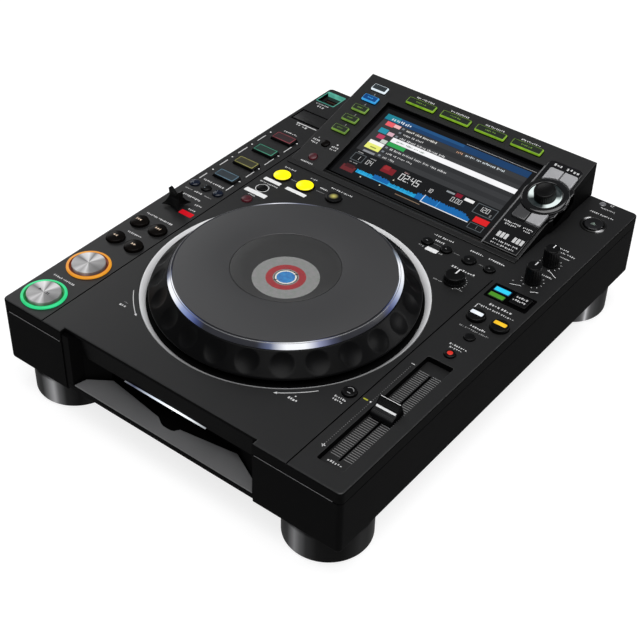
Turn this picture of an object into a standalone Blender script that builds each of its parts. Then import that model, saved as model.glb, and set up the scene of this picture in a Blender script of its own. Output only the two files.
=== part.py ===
# Tabletop disc player for DJ use: a low box on four round feet, a sloped display
# housing at the rear, a large jog wheel, a tempo fader and a disc slot in front.
# Frame: X to the player's right, Y to the rear, Z up; origin under the middle of
# the body on the table. All lengths below are millimetres, meshes are metres.
import math

import bmesh
import bpy
from mathutils import Vector

MM = 0.001

# ---------------------------------------------------------------- dimensions
WIDTH, DEPTH, HEIGHT = 320.0, 405.0, 118.5
HX, HY = WIDTH / 2, DEPTH / 2
FOOT_R, FOOT_X, FOOT_Y = 33.3, 124.6, 167.7
CASE_Z0, CASE_Z1 = 28.3, 75.7          # lower case, bottom and rim
PANEL_Z0, PANEL_Z1 = 76.0, 86.0        # top panel, skirt and face
WALL = 3.0
PLATE_T = 2.6                          # thickness of the panel's face
GAP = 0.3                              # clearance between separate pieces
HOLE = 0.35                            # clearance around a button
BUTTON_Z0 = 80.4                       # lower end of the button plungers

# sloped display housing
HOUSE_X0, HOUSE_X1 = -113.3, 116.0
HOUSE_Y0, SLOPE_Y0, SLOPE_Z0 = 79.5, 84.4, 86.9
SLOPE = math.atan2(HEIGHT - SLOPE_Z0, HY - SLOPE_Y0)
GLASS_X0, GLASS_X1, GLASS_S0, GLASS_S1 = -79.5, 80.0, 8.0, 98.0
GLASS_DEPTH = 4.0

# selector group on the slope
SEL_X, SEL_S = 100.6, 66.0
SEL_PLATE_N = 2.0

# jog wheel
JOG_X, JOG_Y = -1.5, -60.0
JOG_HOLE_R = 111.35
JOG_N = 56

# disc slot
SLOT_X0, SLOT_X1, SLOT_Z0, SLOT_Z1 = -65.0, 59.0, 50.5, 57.0
MOUTH_X0, MOUTH_X1 = -98.3, 84.8
DISC_X, DISC_Y = -3.0, -110.0

# tempo fader
FADER_X0, FADER_X1, FADER_Y0, FADER_Y1 = 126.0, 148.0, -185.0, -54.0
FADER_FLOOR = 81.0
FADER_X, FADER_Y = 137.0, -121.5

# card door and socket well at the rear left
DOOR = (-155.8, -122.8, 139.4, 156.0)
USB_WELL = (-157.3, -137.6, 176.6, 195.9)
USB_SOCKET = (-154.0, -141.0, 183.2, 189.4)
CARD_SLOT = (-151.8, -126.8, 143.4, 146.6)

# round buttons on the panel: x, y, radius, height above the panel, segments
ROUND_BUTTONS = {
    "play_button": (-138.5, -180.0, 13.3, 3.2, 22),
    "cue_button": (-138.6, -133.0, 13.3, 3.2, 22),
    "search_rev_button": (-148.3, -93.7, 7.6, 3.0, 16),
    "search_fwd_button": (-128.6, -93.7, 7.6, 3.0, 16),
    "track_rev_button": (-148.3, -66.2, 7.6, 3.0, 16),
    "track_fwd_button": (-128.6, -66.2, 7.6, 3.0, 16),
    "loop_in_button": (-101.8, 59.0, 8.3, 2.6, 16),
    "loop_out_button": (-77.3, 59.0, 8.3, 2.6, 16),
    "reloop_button": (-47.9, 60.3, 6.9, 2.4, 16),
    "beat_loop_button": (-103.2, 34.2, 4.3, 1.6, 12),
    "slip_button": (-102.9, 13.7, 4.4, 1.8, 12),
    "tempo_reset_button": (105.2, -121.0, 5.4, 2.2, 12),
    "tempo_range_button": (137.8, -18.3, 4.2, 1.6, 12),
    "master_tempo_button": (137.1, -43.0, 4.3, 1.8, 12),
    "sync_button": (128.4, 5.2, 7.3, 2.8, 16),
    "master_button": (148.9, 5.2, 7.3, 2.8, 16),
    "eject_button": (138.4, 165.3, 8.2, 1.8, 16),
}
BANK_KEYS = [(-151.8, 4.1), (-139.1, 4.1), (-126.4, 4.1)]
BANK_R, BANK_H = 4.4, 2.2
PAD_X, PAD_Y0, PAD_PITCH, PAD_W, PAD_D, PAD_H = -136.8, 27.5, 25.6, 22.2, 11.4, 2.6
CALL_KEYS = [(46.8, 60.1, 4.5), (64.8, 60.1, 4.5)]
MEMORY_KEYS = [(86.4, 60.1, 5.5), (105.2, 60.1, 4.4)]
ROCKER_H = 2.0
JOG_MODE = (145.4, 40.6, 7.0, 6.5)      # x, y, half width, half depth
TALL_KNOBS = {"touch_brake_knob": (138.0, 97.5), "release_start_knob": (138.5, 69.6)}
ADJUST_KNOB = (91.5, 31.0)
LEVER = (-142.0, -29.2, 82.0)

# keys on the slope: centre x, distance s up the slope
SOURCE_KEYS = [(-94.6, 107.4), (-94.7, 92.8), (-95.2, 78.2), (-95.5, 63.7), (-95.7, 49.2)]
SOURCE_W, SOURCE_D = 15.2, 7.6
BROWSE_KEYS = [(-50.3, 108.2), (-14.4, 108.2), (21.3, 108.2), (57.2, 108.2)]
BROWSE_W, BROWSE_D = 29.2, 7.8
KEY_H = 2.4
SLOPE_BUTTONS = {"time_mode_button": (-96.9, 29.0, 3.7), "quantize_button": (-96.9, 10.9, 3.8)}

# ---------------------------------------------------------------- clean start
for old in list(bpy.data.objects):
    bpy.data.objects.remove(old, do_unlink=True)
SCENE = bpy.context.scene


# ---------------------------------------------------------------- materials
def material(name, rgb, roughness, metallic=0.0):
    mat = bpy.data.materials.new(name)
    mat.use_nodes = True
    bsdf = mat.node_tree.nodes["Principled BSDF"]
    bsdf.inputs["Base Color"].default_value = (rgb[0], rgb[1], rgb[2], 1.0)
    bsdf.inputs["Roughness"].default_value = roughness
    bsdf.inputs["Metallic"].default_value = metallic
    mat.diffuse_color = (rgb[0], rgb[1], rgb[2], 1.0)
    return mat


CASE = material("case_black", (0.012, 0.012, 0.013), 0.45)
PANEL = material("panel_charcoal", (0.045, 0.045, 0.047), 0.55)
GLOSS = material("gloss_black", (0.008, 0.008, 0.009), 0.15)
KEYBLACK = material("key_black", (0.015, 0.015, 0.016), 0.4)
LIPGREY = material("lip_grey", (0.16, 0.16, 0.165), 0.5)
SILVER = material("ring_silver", (0.75, 0.75, 0.76), 0.25, 1.0)
CAPMETAL = material("cap_metal", (0.72, 0.72, 0.74), 0.3, 1.0)
PLATEGREY = material("jog_plate_grey", (0.075, 0.075, 0.08), 0.35, 0.6)
GLASS = material("cover_glass", (0.03, 0.03, 0.035), 0.05)
YELLOW = material("loop_yellow", (0.9, 0.8, 0.02), 0.35)
KEYGREY = material("key_grey", (0.42, 0.42, 0.44), 0.4)
KEYLIT = material("key_lit", (0.12, 0.30, 0.04), 0.4)
FOOTGLOSS = material("foot_black", (0.02, 0.02, 0.022), 0.25)
BOARD = material("board_green", (0.01, 0.09, 0.04), 0.5)
STEEL = material("steel_frame", (0.5, 0.5, 0.52), 0.35, 1.0)


# ---------------------------------------------------------------- shape tools
def rect(x0, x1, y0, y1):
    return [(x0, y0), (x1, y0), (x1, y1), (x0, y1)]


def rounded(hx, hy, r, seg, cx=0.0, cy=0.0):
    pts = []
    for sx, sy, a0 in ((1, -1, -90), (1, 1, 0), (-1, 1, 90), (-1, -1, 180)):
        for i in range(seg + 1):
            a = math.radians(a0 + 90.0 * i / seg)
            pts.append((cx + sx * (hx - r) + r * math.cos(a), cy + sy * (hy - r) + r * math.sin(a)))
    return pts


def circle(r, n, cx=0.0, cy=0.0):
    return [(cx + r * math.cos(2 * math.pi * i / n), cy + r * math.sin(2 * math.pi * i / n)) for i in range(n)]


def loft(bm, rings, closed=False):
    """Skin a list of equal rings of 3-D points; the ends are capped unless closed."""
    rows = [[bm.verts.new(p) for p in ring] for ring in rings]
    n = len(rows[0])
    pairs = list(zip(rows[:-1], rows[1:]))
    if closed:
        pairs.append((rows[-1], rows[0]))
    for a, b in pairs:
        for i in range(n):
            j = (i + 1) % n
            bm.faces.new((a[i], a[j], b[j], b[i]))
    if not closed:
        bm.faces.new(list(reversed(rows[0])))
        bm.faces.new(rows[-1])
    return rows


def prism(bm, pts, z0, z1):
    loft(bm, [[(x, y, z0) for x, y in pts], [(x, y, z1) for x, y in pts]])


def side_prism(bm, pts, x0, x1):
    """Profile of (y, z) points drawn across in x."""
    loft(bm, [[(x0, y, z) for y, z in pts], [(x1, y, z) for y, z in pts]])


def turned(bm, profile, n, cx=0.0, cy=0.0, closed=False):
    """Solid of revolution from (radius, height) points, capped or a closed ring."""
    loft(bm, [[(cx + r * math.cos(2 * math.pi * i / n), cy + r * math.sin(2 * math.pi * i / n), z)
               for i in range(n)] for r, z in profile], closed)


def add(name, bm, mat, origin=(0, 0, 0), tilt=0.0, smooth=False):
    bmesh.ops.recalc_face_normals(bm, faces=bm.faces)
    for v in bm.verts:
        v.co *= MM
    mesh = bpy.data.meshes.new(name)
    bm.to_mesh(mesh)
    bm.free()
    if smooth:
        mesh.shade_smooth()
        mesh.set_sharp_from_angle(angle=math.radians(35))
    if mat:
        mesh.materials.append(mat)
    ob = bpy.data.objects.new(name, mesh)
    SCENE.collection.objects.link(ob)
    ob.location = Vector(origin) * MM
    ob.rotation_euler = (tilt, 0.0, 0.0)
    return ob


def tool(ob, label, bm, origin=(0, 0, 0), tilt=0.0, operation="DIFFERENCE"):
    """Hidden tool body and the Boolean on ob that uses it."""
    helper = add("tool." + ob.name + "." + label, bm, None, origin, tilt)
    helper.hide_render = True
    helper.display_type = "WIRE"
    mod = ob.modifiers.new(label, "BOOLEAN")
    mod.operation = operation
    mod.solver = "EXACT"
    mod.object = helper
    return helper


def on_slope(x, s, n=0.0):
    """Point x across, s up the slope and n above it, in the world."""
    return (x, SLOPE_Y0 + s * math.cos(SLOPE) - n * math.sin(SLOPE),
            SLOPE_Z0 + s * math.sin(SLOPE) + n * math.cos(SLOPE))


def round_button_mesh(r, n, z0, z1, edge=0.7):
    bm = bmesh.new()
    turned(bm, [(r, z0), (r, z1 - edge), (r - edge, z1)], n)
    return bm


# ---------------------------------------------------------------- lower case
bm = bmesh.new()
loft(bm, [[(x, y, z) for x, y in rounded(HX - i, HY - i, 4.0, 3)]
          for i, z in ((2.4, CASE_Z0), (0.0, CASE_Z0 + 2.4), (0.0, CASE_Z1))])
lower_case = add("lower_case", bm, CASE)
bm = bmesh.new()
prism(bm, rect(-HX + WALL, HX - WALL, -HY + WALL, HY - WALL), CASE_Z0 + WALL, CASE_Z1 + 10)
tool(lower_case, "inside", bm)
bm = bmesh.new()
prism(bm, rect(MOUTH_X0, MOUTH_X1, -HY - 5, -HY + 3.3), CASE_Z0 - 5, CASE_Z1 + 5)
prism(bm, rect(-150.0, 150.0, HY - 6, HY + 5), 36.0, 72.0)
tool(lower_case, "front_and_rear_openings", bm)

# feet: four turned drums
for name, fx, fy in (("foot_front_left", -FOOT_X, -FOOT_Y), ("foot_front_right", FOOT_X, -FOOT_Y),
                     ("foot_rear_left", -FOOT_X, FOOT_Y), ("foot_rear_right", FOOT_X, FOOT_Y)):
    bm = bmesh.new()
    turned(bm, [(FOOT_R - 1.8, 0.0), (FOOT_R, 1.8), (FOOT_R, CASE_Z0 - 1.3), (FOOT_R - 1.0, CASE_Z0 - GAP)], 26)
    add(name, bm, FOOTGLOSS, (fx, fy, 0.0), smooth=True)

# ---------------------------------------------------------------- top panel
bm = bmesh.new()
loft(bm, [[(x, y, z) for x, y in rounded(HX - i, HY - i, 4.0, 3)]
          for i, z in ((0.0, PANEL_Z0), (0.0, PANEL_Z1 - 1.2), (1.2, PANEL_Z1))])
top_panel = add("top_panel", bm, PANEL)

# hollow underside; thicker ground stays under the fader well and the socket well
X0, X1, Y0, Y1 = -HX + WALL, HX - WALL, -HY + WALL, HY - WALL
UNDER = PANEL_Z1 - PLATE_T
bm = bmesh.new()
prism(bm, [(X0, Y0), (124.0, Y0), (124.0, -52.0), (X1, -52.0), (X1, Y1), (-133.0, Y1), (-133.0, 172.0), (X0, 172.0)],
      PANEL_Z0 - 6, UNDER)
tool(top_panel, "underside", bm)
bm = bmesh.new()
prism(bm, rect(123.5, X1, Y0, -51.5), PANEL_Z0 - 6, 79.5)
prism(bm, rect(X0, -132.5, 171.5, Y1), PANEL_Z0 - 6, 79.5)
tool(top_panel, "under_wells", bm)

# through openings
bm = bmesh.new()
prism(bm, circle(JOG_HOLE_R, JOG_N, JOG_X, JOG_Y), 60, 100)
prism(bm, rect(MOUTH_X0, MOUTH_X1, -HY - 5, -HY + 5.2), 60, 100)
prism(bm, rect(-111.2, 114.2, 88.0, 198.0), 60, 100)
for x, y, r, h, n in ROUND_BUTTONS.values():
    prism(bm, circle(r + HOLE, n, x, y), 60, 100)
for x, y in BANK_KEYS:
    prism(bm, circle(BANK_R + HOLE, 12, x, y), 60, 100)
for x, y, r in CALL_KEYS + MEMORY_KEYS:
    prism(bm, circle(r + 0.6, 12, x, y), 60, 100)
for k in range(4):
    y = PAD_Y0 + k * PAD_PITCH
    prism(bm, rounded(PAD_W / 2 + HOLE, PAD_D / 2 + HOLE, 1.2, 2, PAD_X, y), 60, 100)
prism(bm, rounded(JOG_MODE[2] + HOLE, JOG_MODE[3] + HOLE, 1.0, 2, JOG_MODE[0], JOG_MODE[1]), 60, 100)
for x, y in list(TALL_KNOBS.values()) + [ADJUST_KNOB]:
    prism(bm, circle(3.0, 10, x, y), 60, 100)
prism(bm, rect(LEVER[0] - 2.7, LEVER[0] + 2.7, LEVER[1] - 3.2, LEVER[1] + 3.2), 60, 100)
prism(bm, rect(*USB_SOCKET), 60, 100)
prism(bm, rect(*CARD_SLOT), 60, 100)
prism(bm, rect(136.2, 137.8, -174.6, -66.4), 60, 100)
tool(top_panel, "through_openings", bm)

# wells and seams cut from above
bm = bmesh.new()
prism(bm, rounded((FADER_X1 - FADER_X0) / 2, (FADER_Y1 - FADER_Y0) / 2, 1.5, 2,
                  (FADER_X0 + FADER_X1) / 2, (FADER_Y0 + FADER_Y1) / 2), FADER_FLOOR, 95)
prism(bm, rect(*USB_WELL), 82.0, 95)
prism(bm, rect(DOOR[0] - GAP, DOOR[1] + GAP, DOOR[2] - GAP, DOOR[3] + GAP), 84.15, 95)
prism(bm, rect(-117.9, -117.1, -HY - 3, 205), 85.3, 95)
prism(bm, rect(113.9, 114.6, -HY - 3, 50.6), 85.3, 95)
tool(top_panel, "wells_and_seams", bm)

# ---------------------------------------------------------------- disc mouth
# (t, z) is depth behind the front face and height
JAW = [(-2.0, 34.3), (20.0, 47.1), (20.0, 58.0), (8.4, 64.0), (5.7, 90.0), (-2.0, 90.0)]
BEZ_X0, BEZ_X1, BEZ_Z0, BEZ_Z1 = MOUTH_X0 + GAP, MOUTH_X1 - GAP, CASE_Z0 + WALL + GAP, UNDER - GAP
bm = bmesh.new()
prism(bm, rect(BEZ_X0, BEZ_X1, -HY + 0.8, -HY + 24.0), BEZ_Z0, BEZ_Z1)
front_bezel = add("front_bezel", bm, GLOSS)
bm = bmesh.new()
side_prism(bm, [(-HY + t, z) for t, z in JAW], BEZ_X0 - 5, BEZ_X1 + 5)
tool(front_bezel, "mouth", bm)
bm = bmesh.new()
prism(bm, [(x, -HY + t) for x, t in ((BEZ_X0, 0.8), (-91.4, 1.0), (-85.3, 8.2), (-65.2, 16.8), (-65.2, 22.5), (BEZ_X0, 22.5))],
      BEZ_Z0 + 1.0, BEZ_Z1 - 0.5)
prism(bm, [(x, -HY + t) for x, t in ((BEZ_X1, 0.8), (BEZ_X1, 22.5), (59.2, 22.5), (59.2, 16.8), (79.3, 8.2), (84.3, 1.0))],
      BEZ_Z0 + 1.0, BEZ_Z1 - 0.5)
tool(front_bezel, "cheeks", bm, operation="UNION")
bm = bmesh.new()
prism(bm, rect(SLOT_X0, SLOT_X1, -HY + 17.5, -HY + 30), SLOT_Z0, SLOT_Z1)
tool(front_bezel, "slot", bm)

# grey lip: a thin inclined tongue with a shallow V and a thumb notch at its rear
LIP = [(-90.0, 1.0), (83.6, 1.0), (78.0, 8.0), (57.5, 16.3), (7.6, 11.1), (4.6, 8.8), (1.0, 7.7), (-5.6, 7.7),
       (-9.2, 8.8), (-13.4, 11.1), (-63.6, 16.3), (-84.2, 8.0)]
bm = bmesh.new()
loft(bm, [[(x, -HY + t, 35.8 + 0.58 * t) for x, t in LIP], [(x, -HY + t, 37.0 + 0.58 * t) for x, t in LIP]])
add("slot_lip", bm, LIPGREY)

# ---------------------------------------------------------------- rear panel
bm = bmesh.new()
prism(bm, rect(-152.0, 152.0, 196.4, HY - WALL - GAP), 33.5, 73.5)
rear_panel = add("rear_panel", bm, CASE)
bm = bmesh.new()
prism(bm, rect(-137.0, -103.0, 178.0, 198.0), 40.0, 68.0)
prism(bm, rect(24.0, 66.0, 182.0, 198.0), 43.0, 65.0)
for x, z in ((-78.0, 60.0), (-78.0, 47.0), (-54.0, 54.0)):
    side = [(x + 4.6 * math.cos(2 * math.pi * i / 12), z + 4.6 * math.sin(2 * math.pi * i / 12)) for i in range(12)]
    loft(bm, [[(px, 198.0, pz) for px, pz in side], [(px, 202.3, pz) for px, pz in side]])
tool(rear_panel, "socket_bodies", bm, operation="UNION")
bm = bmesh.new()
prism(bm, rect(-133.6, -106.4, 181.0, 205.0), 44.0, 64.0)          # mains inlet
prism(bm, rect(28.0, 44.0, 185.0, 205.0), 47.5, 61.0)              # network socket
prism(bm, rect(50.0, 62.2, 185.0, 205.0), 48.8, 59.8)              # square data socket
prism(bm, rect(99.0, 121.0, 190.0, 205.0), 47.0, 61.0)             # power switch
for x, z in ((-78.0, 60.0), (-78.0, 47.0), (-54.0, 54.0)):
    side = [(x + 2.1 * math.cos(2 * math.pi * i / 10), z + 2.1 * math.sin(2 * math.pi * i / 10)) for i in range(10)]
    loft(bm, [[(px, 199.0, pz) for px, pz in side], [(px, 204.0, pz) for px, pz in side]])
tool(rear_panel, "socket_openings", bm)

# power rocker, turning about x through its middle
bm = bmesh.new()
side_prism(bm, [(-6.0, -5.0), (0.6, -6.2), (1.5, 0.0), (2.6, 6.2), (-6.0, 5.0)], -10.6, 10.6)
add("power_switch", bm, KEYBLACK, (110.0, 199.4, 54.0))

# ---------------------------------------------------------------- inside
bm = bmesh.new()
prism(bm, [(-148.0, -36.0), (148.0, -36.0), (148.0, 172.0), (-148.0, 172.0)], 31.6, 33.2)
main_board = add("main_board", bm, BOARD)
bm = bmesh.new()
for x0, x1, y0, y1, z1 in ((-60.0, -25.0, 40.0, 75.0, 36.0), (10.0, 50.0, 30.0, 70.0, 36.5), (-130.0, -95.0, 110.0, 160.0, 60.0),
                           (-20.0, 30.0, 110.0, 135.0, 40.0), (70.0, 120.0, 90.0, 110.0, 38.0)):
    prism(bm, rect(x0, x1, y0, y1), 32.4, z1)
tool(main_board, "components", bm, operation="UNION")

bm = bmesh.new()
prism(bm, rect(-73.0, 67.0, -175.0, -45.0), 31.6, 62.0)
drive_frame = add("drive_frame", bm, STEEL)
bm = bmesh.new()
prism(bm, rect(-71.0, 65.0, -173.0, -47.0), 33.6, 70.0)
tool(drive_frame, "inside", bm)
bm = bmesh.new()
prism(bm, rect(SLOT_X0 - 1, SLOT_X1 + 1, -180.0, -170.0), SLOT_Z0 - 0.5, SLOT_Z1 + 0.5)
tool(drive_frame, "slot", bm)

bm = bmesh.new()
turned(bm, [(12.0, 34.0), (12.0, 44.0), (5.0, 45.0), (5.0, 50.0), (14.0, 50.4), (14.0, 52.4), (7.2, 52.6), (7.0, 54.6), (5.5, 55.6)], 18)
add("disc_spindle", bm, STEEL, (DISC_X, DISC_Y, 0.0), smooth=True)

bm = bmesh.new()
loft(bm, [[(x, y, z) for x, y in rounded(w, d, 2.0, 2)] for w, d, z in
          ((17.0, 8.5, -5.0), (17.0, 8.5, 2.0), (8.0, 6.0, 2.6), (5.0, 5.0, 5.0))])
add("optical_pickup", bm, KEYBLACK, (DISC_X, -86.5, 40.5))

# ---------------------------------------------------------------- jog wheel
# fixed bearing plate with the post that carries the centre display
bm = bmesh.new()
turned(bm, [(114.0, 78.5), (114.0, UNDER - GAP), (108.8, UNDER - GAP), (108.8, 81.0), (8.2, 81.0), (8.2, 94.2), (40.0, 94.4), (40.0, 98.3)], 40)
add("jog_base", bm, CASE, (JOG_X, JOG_Y, 0.0), smooth=True)

bm = bmesh.new()
turned(bm, [(105.6, 81.4), (108.1, 81.4), (108.1, UNDER), (111.0, UNDER), (111.0, 86.3), (110.7, 86.4), (105.6, 81.9)], JOG_N, closed=True)
add("jog_surround_ring", bm, SILVER, (JOG_X, JOG_Y, 0.0), smooth=True)

bm = bmesh.new()
turned(bm, [(8.6, 83.2), (95.0, 83.2), (95.0, 86.6), (60.0, 86.6), (60.0, 105.2), (56.0, 105.2), (56.0, 86.6), (8.6, 86.6)], 36, closed=True)
add("jog_hub", bm, KEYBLACK, (JOG_X, JOG_Y, 0.0), smooth=True)

bm = bmesh.new()
turned(bm, [(39.5, 105.5), (85.0, 105.5), (85.0, 107.0), (42.4, 108.4), (42.4, 106.4), (39.5, 106.4)], 48, closed=True)
add("jog_plate", bm, PLATEGREY, (JOG_X, JOG_Y, 0.0), smooth=True)

bm = bmesh.new()
turned(bm, [(42.1, 106.7), (42.1, 108.2), (41.6, 108.4)], 48)
add("jog_window", bm, GLASS, (JOG_X, JOG_Y, 0.0), smooth=True)

# rim: a concave flank with finger dimples all round
DIMPLES, PER = 24, 3
bm = bmesh.new()
RIM = [(85.4, 86.9, 0.0), (104.0, 86.9, 0.0), (104.0, 88.6, 0.0), (101.6, 91.4, 0.4), (97.6, 95.4, 1.5), (93.3, 100.2, 1.0),
       (89.2, 104.0, 0.0), (85.4, 106.3, 0.0)]
rings = []
for r, z, dip in RIM:
    ring = []
    for i in range(DIMPLES * PER):
        a = 2 * math.pi * i / (DIMPLES * PER)
        bowl = 0.5 - 0.5 * math.cos(DIMPLES * a)
        ring.append(((r - dip * bowl) * math.cos(a), (r - dip * bowl) * math.sin(a), z))
    rings.append(ring)
loft(bm, rings, closed=True)
add("jog_rim", bm, KEYBLACK, (JOG_X, JOG_Y, 0.0), smooth=True)

# ---------------------------------------------------------------- display housing
bm = bmesh.new()
side_prism(bm, [(HOUSE_Y0, PANEL_Z1 + GAP), (HY, PANEL_Z1 + GAP), (HY, HEIGHT), (SLOPE_Y0, SLOPE_Z0), (HOUSE_Y0 + 0.4, SLOPE_Z0)],
           HOUSE_X0, HOUSE_X1)
housing = add("display_housing", bm, PANEL)


def slope_z(y, n):
    return SLOPE_Z0 + (y - SLOPE_Y0) * math.tan(SLOPE) + n / math.cos(SLOPE)


# plug that drops into the panel opening, and the swelling under the selector
bm = bmesh.new()
prism(bm, rect(-110.8, 113.8, 88.4, 197.6), 78.6, 87.2)
bulge = [(112.0, on_slope(0, 44.5)[1]), (HOUSE_X1 - 0.5, on_slope(0, 47.0)[1]), (118.0, on_slope(0, 49.5)[1]),
         (118.0, on_slope(0, 82.5)[1]), (HOUSE_X1 - 0.5, on_slope(0, 85.0)[1]), (112.0, on_slope(0, 87.5)[1])]
loft(bm, [[(x, y, 88.0) for x, y in bulge], [(x, y, slope_z(y, -0.1)) for x, y in bulge]])
tool(housing, "plug_and_bulge", bm, operation="UNION")
bm = bmesh.new()
side_prism(bm, [(90.0, 70.0), (199.3, 70.0), (199.3, slope_z(199.3, -8.6)), (90.0, slope_z(90.0, -8.6))], -107.0, 110.0)
tool(housing, "inside", bm)
bm = bmesh.new()
side_prism(bm, [(1.5, 0.0), (GLASS_S0, -GLASS_DEPTH), (GLASS_S0, -GLASS_DEPTH - 1.8), (GLASS_S1, -GLASS_DEPTH - 1.8),
                (GLASS_S1, 8.0), (1.5, 8.0)], GLASS_X0, GLASS_X1)
for x, s in SOURCE_KEYS:
    prism(bm, rounded(SOURCE_W / 2 + HOLE, SOURCE_D / 2 + HOLE, 1.0, 1, x, s), -20, 10)
for x, s in BROWSE_KEYS:
    prism(bm, rounded(BROWSE_W / 2 + HOLE, BROWSE_D / 2 + HOLE, 1.0, 1, x, s), -20, 10)
for x, s, r in SLOPE_BUTTONS.values():
    prism(bm, circle(r + HOLE, 12, x, s), -20, 10)


def segment_key(side, end, grow=0.0):
    """Quarter key between the selector disc and a straight outer edge."""
    r = 20.7 - grow
    xa, xb = SEL_X + side * (0.65 - grow), SEL_X + side * (13.0 + grow)
    outer = SEL_S + end * (30.6 + grow)
    pts = []
    for i in range(5):
        x = xa + (xb - xa) * i / 4
        pts.append((x, SEL_S + end * math.sqrt(r * r - (x - SEL_X) ** 2)))
    pts += [(xb, outer - end * 1.5), (xb - side * 1.5, outer), (xa, outer)]
    return pts


for side in (-1, 1):
    for end in (-1, 1):
        prism(bm, segment_key(side, end, HOLE), -20, 10)
prism(bm, circle(3.4, 16, SEL_X, SEL_S), -20, 10)
tool(housing, "slope_openings", bm, (0.0, SLOPE_Y0, SLOPE_Z0), SLOPE)

bm = bmesh.new()
prism(bm, rounded((GLASS_X1 - GLASS_X0) / 2 - GAP, (GLASS_S1 - GLASS_S0) / 2 - GAP - 0.05, 0.6, 1,
                  (GLASS_X0 + GLASS_X1) / 2, (GLASS_S0 + GLASS_S1) / 2), -GLASS_DEPTH - 1.5, -GLASS_DEPTH)
add("display_glass", bm, GLASS, (0.0, SLOPE_Y0, SLOPE_Z0), SLOPE)

# gloss plate around the selector, with its round tower and lit dish
PLATE = [(82.2, 1.4), (113.6, 1.4), (113.6, 46.0), (118.2, 50.5), (118.2, 81.5), (113.6, 86.0), (113.6, 102.0),
         (110.0, 106.0), (86.0, 106.0), (82.2, 101.5)]
bm = bmesh.new()
prism(bm, PLATE, GAP, SEL_PLATE_N)
plate = add("selector_plate", bm, GLOSS, (0.0, SLOPE_Y0, SLOPE_Z0), SLOPE)
bm = bmesh.new()
turned(bm, [(20.0, 1.0), (20.0, 2.6), (18.9, 4.4), (16.5, 4.8)], 30, SEL_X, SEL_S)
tool(plate, "tower", bm, (0.0, SLOPE_Y0, SLOPE_Z0), SLOPE, "UNION")
bm = bmesh.new()
turned(bm, [(12.6, 2.2), (14.2, 5.2)], 30, SEL_X, SEL_S)
tool(plate, "dish", bm, (0.0, SLOPE_Y0, SLOPE_Z0), SLOPE)
bm = bmesh.new()
for side in (-1, 1):
    for end in (-1, 1):
        prism(bm, segment_key(side, end, HOLE), -5, 10)
prism(bm, circle(3.4, 16, SEL_X, SEL_S), -5, 10)
tool(plate, "openings", bm, (0.0, SLOPE_Y0, SLOPE_Z0), SLOPE)

# ---------------------------------------------------------------- selector parts
bm = bmesh.new()
turned(bm, [(3.0, -14.0), (3.0, 2.6), (8.4, 2.6), (9.2, 3.4), (9.2, 10.6), (8.4, 11.8)], 20)
add("selector_knob", bm, KEYBLACK, on_slope(SEL_X, SEL_S), SLOPE, smooth=True)

bm = bmesh.new()
prism(bm, [(x - SEL_X, s - SEL_S) for x, s in ((87.0, 36.5), (109.8, 36.5), (109.8, 95.0), (87.0, 95.0), (87.0, 89.5),
                                               (105.6, 89.5), (105.6, 42.5), (87.0, 42.5))], -12.0, -10.2)
segment_keys = add("segment_keys", bm, KEYGREY, on_slope(SEL_X, SEL_S), SLOPE)
bm = bmesh.new()
for side in (-1, 1):
    for end in (-1, 1):
        pts = [(x - SEL_X, s - SEL_S) for x, s in segment_key(side, end)]
        prism(bm, pts, -11.0, SEL_PLATE_N + 2.0)
tool(segment_keys, "caps", bm, on_slope(SEL_X, SEL_S), SLOPE, "UNION")

# ---------------------------------------------------------------- keys on the slope
def key_bank(name, keys, w, d, mat, z_bar):
    cx = sum(k[0] for k in keys) / len(keys)
    cs = sum(k[1] for k in keys) / len(keys)
    x0, x1 = min(k[0] for k in keys), max(k[0] for k in keys)
    s0, s1 = min(k[1] for k in keys), max(k[1] for k in keys)
    bm = bmesh.new()
    prism(bm, rect(x0 - 3.0 - cx, x1 + 3.0 - cx, s0 - 2.5 - cs, s1 + 2.5 - cs), z_bar - 1.8, z_bar)
    ob = add(name, bm, mat, on_slope(cx, cs), SLOPE)
    bm = bmesh.new()
    for x, s in keys:
        rings = []
        for inset, z in ((0.0, z_bar - 0.9), (0.0, 0.8), (0.9, KEY_H)):
            rings.append([(px, ps, z) for px, ps in rounded(w / 2 - inset, d / 2 - inset, 1.0, 1, x - cx, s - cs)])
        loft(bm, rings)
    tool(ob, "caps", bm, on_slope(cx, cs), SLOPE, "UNION")
    return ob


key_bank("source_keys", SOURCE_KEYS, SOURCE_W, SOURCE_D, KEYLIT, -9.8)
key_bank("browse_keys", BROWSE_KEYS, BROWSE_W, BROWSE_D, KEYLIT, -9.8)
for name, (x, s, r) in SLOPE_BUTTONS.items():
    add(name, round_button_mesh(r, 12, -7.0, 1.7), KEYBLACK, on_slope(x, s), SLOPE, smooth=True)

# ---------------------------------------------------------------- panel buttons
BUTTON_MAT = {"play_button": CAPMETAL, "cue_button": CAPMETAL, "loop_in_button": YELLOW, "loop_out_button": YELLOW}
for name, (x, y, r, h, n) in ROUND_BUTTONS.items():
    bm = round_button_mesh(r, n, BUTTON_Z0 - PANEL_Z1, h)
    add(name, bm, BUTTON_MAT.get(name, KEYBLACK), (x, y, PANEL_Z1), smooth=True)

for k in range(4):
    bm = bmesh.new()
    loft(bm, [[(x, y, z) for x, y in rounded(PAD_W / 2 - i, PAD_D / 2 - i, 1.2 - i * 0.5, 2)]
              for i, z in ((0.0, BUTTON_Z0 - PANEL_Z1), (0.0, PAD_H - 0.8), (0.8, PAD_H))])
    add("hot_cue_%d" % (k + 1), bm, KEYBLACK, (PAD_X, PAD_Y0 + k * PAD_PITCH, PANEL_Z1))

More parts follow.
